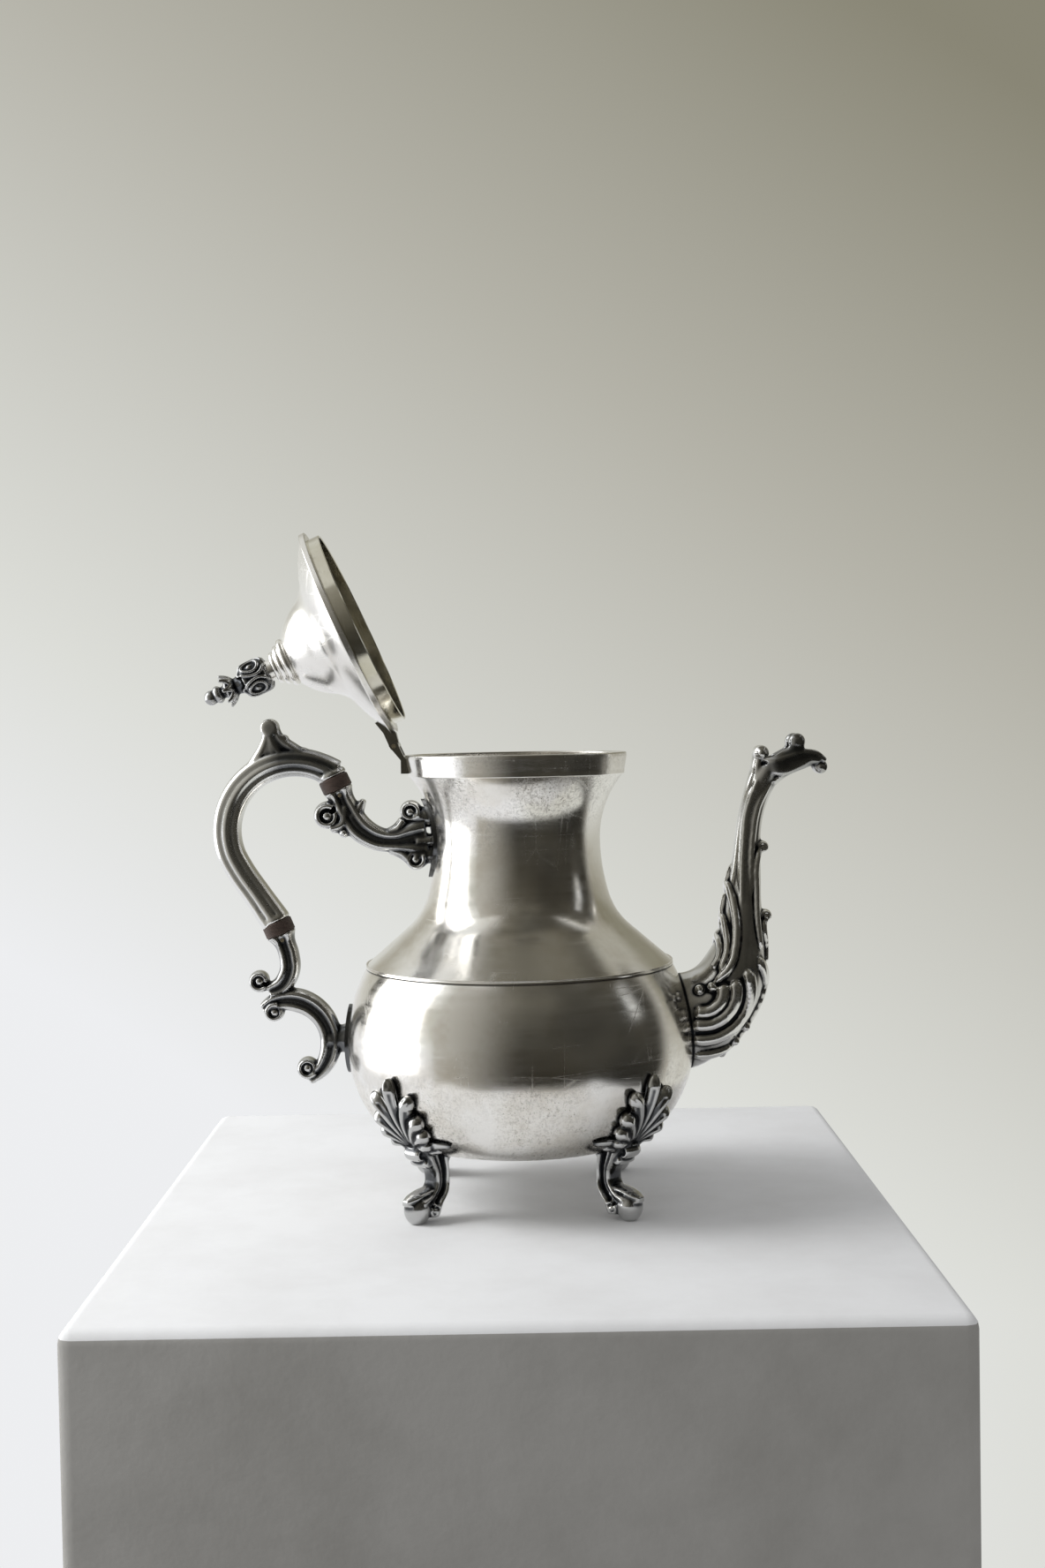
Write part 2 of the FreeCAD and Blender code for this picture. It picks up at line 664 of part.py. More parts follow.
def make_lid_dome():
    """Bell-shaped lid, hollow, with a hole for the finial stud."""
    body = new_body("lid_dome")
    solid = turn(body, "raised", lid_outline())
    hollow(body, solid, "lid_wall", (LID_BASE,))
    hole = Placement(Vector(0, 0, number(f"{CROWN} - 2 * lid_wall")), Rotation())
    bore(body, "stud_hole", STUD_HOLE, "4 * lid_wall", hole)
    body.Placement = LID_OPEN
    return body


def make_lid_bezel():
    """Ring that drops into the mouth, with a flange inside the lid's edge."""
    body = new_body("lid_bezel")
    inside = f"{BEZEL_RADIUS} - lid_wall"
    turn(body, "ring", (
        (inside, f"{LID_BASE} - bezel_depth", None, ""),
        (BEZEL_RADIUS, f"{LID_BASE} - bezel_depth", None, ""),
        (BEZEL_RADIUS, LID_BASE, None, ""),
        ("lid_radius - lid_wall", LID_BASE, None, ""),
        ("lid_radius - lid_wall", f"{LID_BASE} + lid_wall", None, ""),
        (inside, f"{LID_BASE} + lid_wall", None, ""),
    ))
    body.Placement = LID_OPEN
    return body


def make_finial_collar():
    """Stepped rings between the lid's crown and the finial."""
    body = new_body("finial_collar")
    stops = [(STUD_HOLE, CROWN, None, "")]
    for rank in range(3):
        reach = f"crown_radius - {rank} * ring_step"
        stops.append((reach, f"{CROWN} + {rank} * ring_height", ("0.6 * ring_height", -1), ""))
        stops.append((reach, f"{CROWN} + {rank + 1} * ring_height", None, ""))
    stops += [
        ("collar_waist", f"{CROWN} + 3 * ring_height", None, ""),
        ("collar_waist", COLLAR_TOP, None, ""),
        (STUD_HOLE, COLLAR_TOP, None, ""),
    ]
    turn(body, "rings", stops)
    body.Placement = LID_OPEN
    return body


def around(body, name, original, count):
    """Repeat a feature round the pot's axis."""
    pattern = body.newObject("PartDesign::PolarPattern", name)
    pattern.Originals = [original]
    axis = next(item for item in body.Origin.OriginFeatures if item.Role == "Z_Axis")
    pattern.Axis = (axis, [""])
    pattern.Angle = 360
    bind(pattern, "Occurrences", count)
    body.Tip = pattern
    doc.recompute()
    return pattern


def make_finial():
    """Leafy bud: a turned core, scrolled petals round it and a calyx of pointed leaves."""
    body = new_body("finial")
    waist = f"{COLLAR_TOP} + bud_height"
    turn(body, "core", (
        ("0", COLLAR_TOP, None, ""),
        ("collar_waist", COLLAR_TOP, None, ""),
        ("bud_radius * 0.6", f"{COLLAR_TOP} + bud_height * 0.6", None, ""),
        ("calyx_waist", waist, None, ""),
        ("calyx_radius * 0.7", f"{waist} + tip_height * 0.27", None, ""),
        ("calyx_waist * 0.8", f"{waist} + tip_height * 0.36", None, ""),
        ("calyx_waist * 0.6", f"{waist} + tip_height * 0.8", None, ""),
        ("0", f"{waist} + tip_height * 0.8", None, ""),
    ))
    for name, radius, middle in (
        ("bud", "bud_radius * 0.85", f"{COLLAR_TOP} + bud_height * 0.42"),
        ("knob", "calyx_waist * 1.2", f"{waist} + tip_height * 0.55"),
        ("ball", "calyx_waist", f"{waist} + tip_height - calyx_waist"),
    ):
        swelling = body.newObject("PartDesign::AdditiveSphere", name)
        bind(swelling, "Radius", radius)
        swelling.Placement = Placement(Vector(0, 0, number(middle)), Rotation(UP, SEAM_TURN))
        doc.recompute()
    petal = body.newObject("PartDesign::AdditiveEllipsoid", "petal")
    bind(petal, "Radius1", "bud_height * 0.36")
    bind(petal, "Radius2", "bud_radius * 0.38")
    bind(petal, "Radius3", "bud_radius * 0.55")
    petal_place = Vector(number("bud_radius * 0.62"), 0, number(f"{COLLAR_TOP} + bud_height * 0.42"))
    half_step = Placement(Vector(), Rotation(UP, number("180 / petals")))
    petal.Placement = half_step * Placement(petal_place, Rotation(SIDE, number("petal_lean")))
    doc.recompute()
    around(body, "petals", petal, "petals")
    leaf = body.newObject("PartDesign::AdditiveCone", "calyx_leaf")
    bind(leaf, "Radius1", "calyx_waist * 0.55")
    bind(leaf, "Radius2", "calyx_waist * 0.08")
    bind(leaf, "Height", "calyx_radius * 0.75")
    leaf_place = Vector(number("calyx_radius * 0.3"), 0, number(f"{waist} + tip_height * 0.16"))
    leaf_step = Placement(Vector(), Rotation(UP, number("180 / calyx_leaves")))
    leaf.Placement = leaf_step * Placement(leaf_place, Rotation(SIDE, number("leaf_lean")))
    doc.recompute()
    around(body, "calyx", leaf, "calyx_leaves")
    hole = Placement(Vector(0, 0, number(COLLAR_TOP)), Rotation())
    bore(body, "stud_socket", STUD_HOLE, "bud_height * 0.5", hole)
    body.Placement = LID_OPEN * half_step
    return body


def make_finial_fixing():
    """Stud through the crown, with its washer and nut inside the lid."""
    inner_crown = f"{CROWN} - lid_wall"
    washer_base = f"{inner_crown} - washer_thickness"
    nut_base = f"{washer_base} - nut_thickness"
    stud = doc.addObject("Part::Cylinder", "finial_stud")
    bind(stud, "Radius", "stud_radius")
    low = f"{nut_base} - stud_radius / 2"
    bind(stud, "Height", f"{COLLAR_TOP} + bud_height * 0.45 - ({low})")
    stud.Placement = LID_OPEN * Placement(Vector(0, 0, number(low)), Rotation())
    washer = new_body("finial_washer")
    turn(washer, "disc", (
        (STUD_HOLE, washer_base, None, ""),
        ("washer_radius", washer_base, None, ""),
        ("washer_radius", inner_crown, None, ""),
        (STUD_HOLE, inner_crown, None, ""),
    ))
    washer.Placement = LID_OPEN
    nut = new_body("finial_nut")
    hexagon = nut.newObject("PartDesign::AdditivePrism", "hexagon")
    hexagon.Polygon = 6
    bind(hexagon, "Circumradius", "nut_width / sqrt(3)")
    bind(hexagon, "Height", "nut_thickness")
    base = Placement(Vector(0, 0, number(nut_base)), Rotation())
    hexagon.Placement = base
    doc.recompute()
    bore(nut, "thread_hole", STUD_HOLE, "nut_thickness", base)
    nut.Placement = LID_OPEN
    return stud, washer, nut


# Hinge

def make_body_hinge_leaf():
    """Leaf on the mouth band: a plate, a strap over the rim and two outer knuckles."""
    body = new_body("body_hinge_leaf")
    sketch = new_sketch(body, "leaf_outline")
    draw(sketch, (
        ("band_radius - 1.5 * band_taper", f"{RIM} - leaf_drop", None, ""),
        ("band_radius + leaf_thickness", f"{RIM} - leaf_drop", None, ""),
        ("band_radius + leaf_thickness", f"{RIM} - knuckle_radius", None, ""),
        (f"{HINGE_REACH} + knuckle_radius", HINGE_HEIGHT, ("knuckle_radius", -1), ""),
        (HINGE_REACH, f"{HINGE_HEIGHT} + knuckle_radius", ("knuckle_radius", -1), ""),
        (f"{HINGE_REACH} - knuckle_radius", HINGE_HEIGHT, None, ""),
        ("band_radius", f"{RIM} - knuckle_radius / 2", None, ""),
        ("band_radius - 1.5 * band_taper", f"{RIM} - knuckle_radius", None, ""),
    ))
    pad(body, "leaf", sketch, "hinge_width")
    turn(body, "band_seat", (
        ("0", f"{RIM} - 2 * band_height", None, ""),
        ("band_radius - band_taper", f"{RIM} - 2 * band_height", None, ""),
        ("band_radius - band_taper", f"{RIM} - band_height + band_round", None, ""),
        ("band_radius", f"{RIM} - band_round", None, ""),
        ("band_radius", f"{RIM} + hinge_rise", None, ""),
        ("0", f"{RIM} + hinge_rise", None, ""),
    ), "Groove")
    gap = new_sketch(body, "knuckle_room_outline")
    room = "knuckle_radius + knuckle_gap"
    floor = f"{HINGE_HEIGHT} - ({room}) - leaf_thickness"
    draw(gap, (
        (f"{HINGE_REACH} - 2 * ({room})", floor, None, ""),
        (f"{HINGE_REACH} + 2 * ({room})", floor, None, ""),
        (f"{HINGE_REACH} + 2 * ({room})", f"{HINGE_HEIGHT} + ({room})", None, ""),
        (f"{HINGE_REACH} - 2 * ({room})", f"{HINGE_HEIGHT} + ({room})", None, ""),
    ))
    pad(body, "knuckle_room", gap, "middle_knuckle + 2 * knuckle_gap", "Pocket")
    across_hole(body, "pin_hole", PIN_HOLE, HINGE_REACH, HINGE_HEIGHT, "2 * hinge_width")
    body.Placement = HANDLE_SIDE
    return body


def make_lid_hinge_leaf():
    """Leaf on the lid: a strap that lies on the brim and the middle knuckle."""
    body = new_body("lid_hinge_leaf")
    sketch = new_sketch(body, "leaf_outline")
    brim = f"{LID_BASE} + edge_height"
    draw(sketch, (
        ("lid_radius - 0.5 * edge_step", f"{LID_BASE} + 0.3 * edge_height", None, ""),
        ("lid_radius + 0.3 * edge_step", f"{LID_BASE} + 0.3 * edge_height", None, ""),
        (HINGE_REACH, f"{HINGE_HEIGHT} - knuckle_radius", ("knuckle_radius", -1), ""),
        (f"{HINGE_REACH} + knuckle_radius", HINGE_HEIGHT, ("knuckle_radius", -1), ""),
        (HINGE_REACH, f"{HINGE_HEIGHT} + knuckle_radius", None, ""),
        ("lid_radius - edge_step", f"{brim} + 2 * leaf_thickness", None, ""),
        ("lid_radius - leaf_reach", f"{brim} + leaf_reach * 0.62", None, ""),
        ("lid_radius - leaf_reach", f"{brim} - leaf_thickness", None, ""),
        ("lid_radius - edge_step", f"{brim} - leaf_thickness", None, ""),
    ))
    pad(body, "leaf", sketch, "middle_knuckle")
    turn(body, "lid_seat", lid_outline(), "Groove")
    across_hole(body, "pin_hole", PIN_HOLE, HINGE_REACH, HINGE_HEIGHT, "2 * hinge_width")
    body.Placement = LID_OPEN * HANDLE_SIDE
    return body


def make_hinge_pin():
    """Pin through all three knuckles."""
    pin = doc.addObject("Part::Cylinder", "hinge_pin")
    bind(pin, "Radius", "pin_radius")
    bind(pin, "Height", "hinge_width + 2 * knuckle_gap")
    start = hinge_point + SIDE * (number("hinge_width + 2 * knuckle_gap") / 2)
    pin.Placement = Placement(start, Rotation(UP, -SIDE))
    return pin


# Handle, drawn along +X and turned to the handle's side

def make_grip():
    """Reeded grip: a bow turned about its centre, a tail and a scrolled thumb rest."""
    body = new_body("handle_grip")
    spine = "bow_reach + grip_bow"
    edge = "grip_width / 2"
    crest = "grip_width * 0.22"
    bead = f"({edge} - {crest})"
    bead_curve = f"(reed_groove ^ 2 + {bead} ^ 2) / (2 * {bead})"
    swell = "(grip_depth / 2 - reed_groove)"
    band_curve = f"(({crest}) ^ 2 + {swell} ^ 2) / (2 * {swell})"
    section = new_sketch(body, "section", "XY_Plane")
    bind(section, "AttachmentOffset.Base.z", BOW_HEIGHT)
    draw(section, (
        (f"{spine} - {crest}", "-reed_groove", (band_curve, -1), ""),
        (f"{spine} + {crest}", "-reed_groove", (bead_curve, -1), ""),
        (f"{spine} + {crest}", "reed_groove", (band_curve, -1), ""),
        (f"{spine} - {crest}", "reed_groove", (bead_curve, -1), ""),
    ))
    hub = Vector(number("bow_reach"), 0, 0)
    centre = section.addGeometry(Part.LineSegment(hub - SIDE, hub + SIDE), True)
    section.addConstraint(Sketcher.Constraint("Vertical", centre))
    bound_constraint(section, "bow_reach", "DistanceX", centre, 1)
    doc.recompute()
    bow = body.newObject("PartDesign::Revolution", "bow")
    bow.Profile = section
    bow.ReferenceAxis = (section, ["Axis0"])
    upper_angle = math.atan2(UPPER.grip_end.z - number(BOW_HEIGHT), UPPER.grip_end.x - hub.x)
    bow.Angle = math.degrees(upper_angle) + number("bow_run_out")
    bow.Reversed = True
    doc.recompute()
    spine_line = new_sketch(body, "tail_spine")
    draw(spine_line, (
        (spine, BOW_HEIGHT, ("grip_bow", 1), "level"),
        ("bow_reach + 0.83 * grip_bow", f"{BOW_HEIGHT} - 0.56 * grip_bow", None, "smooth free"),
        (*LOWER.place("-0.7 * grip_width"), None, ""),
    ), closed=False)
    pipe = body.newObject("PartDesign::AdditivePipe", "tail")
    pipe.Profile = section
    pipe.Spine = (spine_line, ["Edge1", "Edge2"])
    doc.recompute()
    thumb = new_sketch(body, "thumb_outline")
    top = f"{BOW_HEIGHT} + grip_bow + grip_width / 2"
    roll = f"{top} + thumb_height - thumb_roll"
    lean = "bow_reach + thumb_lean"
    draw(thumb, (
        ("bow_reach", f"{top} - grip_width / 2", None, ""),
        (f"{lean} + 0.6 * thumb_roll", f"{top} - grip_width", None, ""),
        (f"{lean} + 0.6 * thumb_roll", f"{roll} - 1.4 * thumb_roll", None, ""),
        (f"{lean} + thumb_roll", roll, ("thumb_roll", -1), ""),
        (lean, f"{roll} + thumb_roll", ("thumb_height + thumb_roll", -1), ""),
        ("bow_reach", top, None, ""),
    ))
    pad(body, "thumb_rest", thumb, "thumb_width")
    for name, joint in (("upper", UPPER), ("lower", LOWER)):
        end = new_sketch(body, f"{name}_end_outline")
        half = "1.4 * grip_width"
        corners = (("0", f"-{half}"), (f"-{half}", f"-{half}"), (f"-{half}", half), ("0", half))
        draw(end, [(*joint.place(along, beside), None, "") for along, beside in corners])
        pad(body, f"{name}_end", end, "3 * grip_depth", "Pocket")
        bore(body, f"{name}_socket", SOCKET_RADIUS, SOCKET_DEPTH, Placement(joint.grip_end, joint.turned))
        across_hole(body, f"{name}_pin_hole", "cross_pin_radius", *joint.place(GRIP_PIN), "3 * grip_depth")
    body.Placement = HANDLE_SIDE
    return body


def make_insulator(name, joint):
    """Ring with a tenon at each end, drilled for the cross pins."""
    body = new_body(f"{name}_insulator")
    ring_top = "tenon_length + insulator_length"
    turn(body, "ring", (
        ("0", "0", None, ""),
        ("tenon_radius", "0", None, ""),
        ("tenon_radius", "tenon_length", None, ""),
        ("insulator_radius - insulator_chamfer", "tenon_length", None, ""),
        ("insulator_radius", "tenon_length + insulator_chamfer", None, ""),
        ("insulator_radius", f"{ring_top} - insulator_chamfer", None, ""),
        ("insulator_radius - insulator_chamfer", ring_top, None, ""),
        ("tenon_radius", ring_top, None, ""),
        ("tenon_radius", f"{ring_top} + tenon_length", None, ""),
        ("0", f"{ring_top} + tenon_length", None, ""),
    ))
    for name, up in (("bracket", "tenon_length / 2"), ("grip", f"{ring_top} + tenon_length / 2")):
        across_hole(body, f"{name}_pin_hole", "cross_pin_radius", "0", up, "3 * tenon_radius")
    start = joint.point("-insulator_length - tenon_length")
    body.Placement = HANDLE_SIDE * Placement(start, joint.turned)
    return body


def make_insulator_pins(name, joint):
    """Cross pins that hold an insulator's tenons in the grip and in the bracket."""
    pins = []
    for end, along in (("grip", GRIP_PIN), ("bracket", BRACKET_PIN)):
        pin = doc.addObject("Part::Cylinder", f"{name}_{end}_pin")
        bind(pin, "Radius", "cross_pin_radius")
        bind(pin, "Height", "cross_pin_length")
        start = joint.point(along) + SIDE * (number("cross_pin_length") / 2)
        pin.Placement = HANDLE_SIDE * Placement(start, Rotation(UP, -SIDE))
        pins.append(pin)
    group = doc.addObject("Part::Compound", f"{name}_insulator_pins")
    group.Label = f"{name}_insulator_pins"
    group.Links = pins
    return group


def skin_patch(solid, outline):
    """Plate as thick as the patches on a turned solid, inside an outline drawn across X."""
    skin = solid.makeOffsetShape(number("patch_thickness"), 1e-4)
    column = Part.Face(outline).extrude(Vector(2 * number("bowl_radius"), 0, 0))
    return column.common(skin).cut(solid)


def make_upper_patch(neck_solid):
    """Leaf-shaped plate on the neck."""
    half_length = number("upper_patch_length") / 2
    half_width = number("upper_patch_width") / 2
    middle = Vector(0, 0, number(UPPER_PATCH))
    ends = [middle + UP * half_length, middle - UP * half_length]
    sides = [middle + SIDE * half_width, middle - SIDE * half_width]
    arcs = (Part.Arc(ends[0], sides[0], ends[1]), Part.Arc(ends[1], sides[1], ends[0]))
    outline = Part.Wire([arc.toShape() for arc in arcs])
    return cast("upper_handle_patch", skin_patch(neck_solid, outline), HANDLE_SIDE)


def make_lower_patch(bowl_solid):
    """Oval plate on the bowl."""
    half_length = number("lower_patch_length") / 2
    half_width = number("lower_patch_width") / 2
    middle = Vector(0, 0, number(LOWER_PATCH))
    oval = Part.Ellipse(middle + UP * half_length, middle + SIDE * half_width, middle)
    return cast("lower_handle_patch", skin_patch(bowl_solid, Part.Wire(oval.toShape())), HANDLE_SIDE)


def seat_bracket(name, joint, forms, vessel, patch):
    """Join a bracket's forms, seat them on the vessel and its plate, and drill them for the insulator."""
    shape = forms[0].fuse(forms[1:])
    room = 4 * number("insulator_radius")
    beyond = Part.makeBox(2 * room, 2 * room, room, Vector(-room, -room, 0))
    beyond.Placement = Placement(joint.bracket_end, joint.turned)
    plate = patch.Shape.copy()
    plate.Placement = Placement()
    shape = shape.cut([vessel, plate, beyond])
    depth = number(SOCKET_DEPTH)
    socket = cylinder(joint.bracket_end, joint.axis, number(SOCKET_RADIUS), 2 * depth)
    pin = cylinder(joint.point(BRACKET_PIN), SIDE, number("cross_pin_radius"), 3 * number("arm_depth"))
    return cast(name, shape.cut([socket, pin]), HANDLE_SIDE)


def make_upper_bracket(neck_solid, patch):
    """Scrolled arm from the neck to the upper insulator."""
    start = UPPER.bracket_end
    neck = number("neck_radius")
    middle = number(UPPER_PATCH)
    width = number("arm_width") / 2
    depth = number("arm_depth") / 2
    end_radius = number("insulator_radius")
    large = number("volute_radius")
    across = number("volute_width")
    path = (
        start + UPPER.axis * (0.2 * width),
        start - UPPER.axis * (4.8 * width),
        Vector(neck + 4.6 * width, 0, middle - 0.4 * width),
        Vector(0.8 * neck, 0, middle),
    )
    arm = bezier_arm(
        path,
        (end_radius, 1.05 * width, 1.25 * width, 1.1 * width, 1.3 * width, 2 * width),
        (end_radius, depth, depth, depth, depth, depth),
    )
    crest = tube((
        (neck + 2 * width, middle, 90, 0.8 * width, 0.8 * depth, 0.0),
        (neck + 1.9 * width, middle + 2 * width, 95, 0.7 * width, 0.7 * depth, 0.0),
        (neck + 1.6 * width, middle + 3.9 * width, 100, 0.15 * width, 0.3 * depth, 0.0),
    ), 8)
    forms = [
        arm,
        crest,
        volute(beside(path, 0.15, width + large), 1.18 * large, across),
        volute(Vector(neck + 2.2 * large, 0, middle + 2.05 * large), 0.78 * large, 0.8 * across),
        volute(Vector(neck + 1.5 * large, 0, middle - 1.7 * large), 0.9 * large, 0.9 * across),
        Part.makeSphere(0.45 * large, beside(path, 0.33, 1.4 * width)),
    ]
    return seat_bracket("upper_handle_bracket", UPPER, forms, neck_solid, patch)


def make_lower_bracket(bowl_solid, patch):
    """S scroll and C scroll from the lower insulator to the bowl."""
    start = LOWER.bracket_end
    centre = Vector(number("bowl_radius + scroll_gap + scroll_radius"), 0, number(SCROLL_HEIGHT))
    radius = number("scroll_radius")
    width = number("arm_width") / 2
    depth = number("arm_depth") / 2
    end_radius = number("insulator_radius")
    large = number("volute_radius")
    across = number("volute_width")
    foot = centre + UP * (radius + width)
    path = (
        start + LOWER.axis * (0.2 * width),
        start - LOWER.axis * (1.8 * width),
        foot,
        foot + Vector(2 * width, 0, 0),
    )
    arm = bezier_arm(
        path,
        (end_radius, 0.85 * width, 0.85 * width, 0.95 * width, 0.8 * width),
        (end_radius, depth, depth, depth, depth),
    )
    widths = [factor * width for factor in (0.8, 1.2, 1.05, 1.05, 1.0, 1.0, 0.9, 0.7)]
    first = number("scroll_start")
    sweep = number("scroll_sweep")
    bend = arc_arm(centre, radius, first, first + sweep, widths, depth)
    bowl = number("bowl_radius")
    stub_height = number(LOWER_PATCH)
    stub = tube([
        (x, stub_height, 180, 1.5 * width, 0.95 * depth, 0.0)
        for x in (centre.x - radius, bowl, 0.85 * bowl)
    ])
    forms = [
        arm,
        bend,
        stub,
        volute(foot + Vector(2.3 * large, 0, 0.6 * large), large, across),
        volute(round_about(centre, 0.72 * radius, first + 0.02 * sweep), 0.82 * large, across),
        volute(round_about(centre, 0.77 * radius, first + 0.94 * sweep), large, across),
    ]
    return seat_bracket("lower_handle_bracket", LOWER, forms, bowl_solid, patch)


# Spout

def spout_stations(inset=0.0):
    """Sections along the spout, from inside the bowl to the mouth, drawn in by an inset."""
    groove = number("gadroon_depth")
    tilt = number("spout_root_tilt")
    root = (number("spout_root_length"), number("spout_root_width"))
    reach = number("bowl_radius")
    height = number("spout_root_height")
    inside = root[1] / 2
    sections = [
        (reach - inside, height - inside * math.tan(math.radians(tilt)), tilt, *root, groove),
        (reach, height, tilt, *root, groove),
    ]
    for place, hollow_depth in (("belly", groove), ("waist", 0.0), ("neck", 0.0), ("throat", 0.0)):
        across = number(f"spout_{place}_width")
        sections.append((
            reach + number(f"spout_{place}_reach"),
            height + number(f"spout_{place}_rise"),
            number(f"spout_{place}_tilt"),
            across,
            across,
            hollow_depth,
        ))
    sections.append((
        reach + number("spout_mouth_reach"),
        height + number("spout_mouth_rise"),
        number("spout_mouth_tilt"),
        number("spout_mouth_length"),
        number("spout_mouth_width"),
        0.0,
    ))
    return [
        (x, z, slope, length / 2 - inset, width / 2 - inset, hollow_depth)
        for x, z, slope, length, width, hollow_depth in sections
    ]


def make_spout(bowl_solid, neck_solid):
    """Hollow spout, gadrooned at its swelling, with rolls at its mouth."""
    roll = number("lip_roll")
    across = number("bowl_radius + spout_mouth_reach")
    mouth = Vector(across, 0, number("spout_root_height + spout_mouth_rise"))
    half = number("spout_mouth_length") / 2
    side = number("spout_mouth_width") / 2
    reach = number("lip_reach")
    forms = [
        tube((
            (mouth.x + 0.1 * half, mouth.z - 1.3 * roll, 25, 0.9 * roll, 0.7 * side, 0.0),
            (mouth.x + 0.5 * reach, mouth.z - 0.4 * roll, 12, 0.9 * roll, 0.65 * side, 0.0),
            (mouth.x + 0.8 * reach, mouth.z - 0.3 * roll, -14, 0.7 * roll, 0.55 * side, 0.0),
            (mouth.x + reach, mouth.z - 0.9 * roll, -45, 0.45 * roll, 0.5 * side, 0.0),
        ), 10),
        volute(mouth + Vector(reach - 0.5 * roll, 0, -1.3 * roll), 0.85 * roll, 1.1 * side),
        volute(mouth + Vector(0.2 * roll - half, 0, 0.2 * roll), roll, 1.2 * side),
    ]
    for sign in (-1, 1):
        eye = mouth + Vector(0.6 * half, sign * 0.78 * side, 2 * roll)
        forms.append(volute(eye, 1.1 * roll, 0.6 * side))
        forms.append(Part.makeCylinder(0.6 * roll, 2 * roll, eye + Vector(0.4 * roll, 0, -2.1 * roll), UP))
    outside = tube(spout_stations(), 14, int(number("spout_lobes")), True).fuse(forms)
    channel = tube(spout_stations(number("spout_wall")), 14)
    return cast("spout", outside.cut([bowl_solid, neck_solid, channel]))


# Feet

def foot_shape(bowl_solid):
    """Scroll foot along +X: a shell on the bowl, a reeded leg and a toe."""
    curve = number("lower_curve")
    centre = Vector(number("bowl_radius") - curve, 0, number("belly_height"))
    knee = number("knee_height")
    length = number("shell_length")
    lobe = number("lobe_radius")
    toe = number("toe_radius")
    reeds = int(number("leg_reeds"))
    below = centre.z - knee
    knee_radius = centre.x + math.sqrt(curve**2 - below**2)
    lean = math.asin((centre.z - knee - 0.45 * length) / curve)
    rise = Vector(math.sin(lean), 0, math.cos(lean))
    out = Vector(math.cos(lean), 0, -math.sin(lean))
    root = Vector(knee_radius, 0, knee) + out * (0.55 * lobe)
    count = int(number("shell_lobes"))
    spread = math.radians(number("shell_spread"))
    forms = []
    for index in range(count):
        share = index / (count - 1) - 0.5
        along = rise * math.cos(share * spread) + SIDE * math.sin(share * spread)
        reach = length * (1 - 1.1 * share**2) - lobe
        forms.append(Part.makeCone(0.35 * lobe, lobe, reach, root, along))
        forms.append(Part.makeSphere(lobe, root + along * reach))
    toe_height = math.sqrt(toe**2 - number("toe_flat") ** 2)
    toe_centre = Vector(number("bowl_radius - toe_inset"), 0, toe_height)
    ankle = Vector(number("bowl_radius - ankle_inset"), 0, number("ankle_height"))
    ankle_depth = number("ankle_depth") / 2
    ankle_width = number("ankle_width") / 2
    knee_width = number("knee_width") / 2
    groove = 0.16 * ankle_width
    slip = 0.36 * ankle_depth
    shin = (ankle + toe_centre) / 2 - Vector(1.5, 0, 1.5) * slip
    stations = (
        (knee_radius - slip, knee + 2 * slip, -115, 0.8 * knee_width, knee_width, groove),
        (ankle.x + 2 * slip, (knee + ankle.z) / 2, -106, 1.5 * ankle_depth, 1.35 * ankle_width, groove),
        (ankle.x, ankle.z, -90, ankle_depth, ankle_width, groove),
        (shin.x, shin.z, -55, 1.1 * ankle_depth, 1.15 * ankle_width, groove),
        (toe_centre.x, toe_centre.z, -22, 0.8 * toe, 0.85 * toe, groove),
    )
    roll = 0.9 * lobe
    forms += [
        Part.makeSphere(toe, toe_centre),
        volute(Vector(knee_radius + 0.4 * roll, 0, knee - 1.1 * roll), roll, 1.6 * knee_width),
        volute(toe_centre + Vector(-0.75 * toe, 0, 0.35 * toe), 0.5 * toe, 2.1 * toe),
    ]
    shape = tube(stations, 12, reeds).fuse(forms).cut(bowl_solid)
    reach = 2 * number("bowl_radius")
    room = Part.makeBox(reach, 2 * reach, reach, Vector(0, -reach, 0))
    return shape.common(room)


def make_feet(bowl_solid):
    """Four equal feet round the bowl."""
    shape = foot_shape(bowl_solid)
    return [
        cast(name, shape, Placement(Vector(), Rotation(UP, angle)))
        for name, angle in FOOT_ANGLES.items()
    ]


def all_parts():
    """Build every sub-part in turn."""
    bowl, bowl_solid = make_bowl()
    neck, neck_solid = make_neck()
    upper_patch = make_upper_patch(neck_solid)
    lower_patch = make_lower_patch(bowl_solid)
    parts = [
        bowl,
        neck,
        make_mouth_band(),
        make_spout(bowl_solid, neck_solid),
        *make_feet(bowl_solid),
        upper_patch,
        make_upper_bracket(neck_solid, upper_patch),
        make_insulator("upper", UPPER),
        make_insulator_pins("upper", UPPER),
        make_grip(),
        make_insulator("lower", LOWER),
        make_insulator_pins("lower", LOWER),
        make_lower_bracket(bowl_solid, lower_patch),
        lower_patch,
        make_body_hinge_leaf(),
        make_hinge_pin(),
        make_lid_dome(),
        make_lid_bezel(),
        make_lid_hinge_leaf(),
        make_finial_collar(),
        make_finial(),
        *make_finial_fixing(),
    ]
    return parts


def write(parts):
    """Check every object and write each sub-part to its file."""
    doc.recompute()
    failed = [item.Name for item in doc.Objects if {"Invalid", "Error"} & set(item.State)]
    failed += [item.Label for item in parts if item.Shape.isNull() or not item.Shape.isValid()]
    if failed:
        raise RuntimeError("failed: " + ", ".join(failed))
    os.makedirs("parts", exist_ok=True)
    for item in parts:
        item.Shape.exportStep(f"parts/{item.Label}.step")


write(all_parts())
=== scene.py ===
"""Looks of a footed silver teapot with a hinged lid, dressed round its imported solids.

Shapes are given in millimetres in the pot's own frame: Z is the pot's axis, the spout
points along +X, the handle along -X, and the table is at height 0.
"""

import logging
import math
from dataclasses import dataclass, field
from enum import Enum
from typing import Callable, Sequence

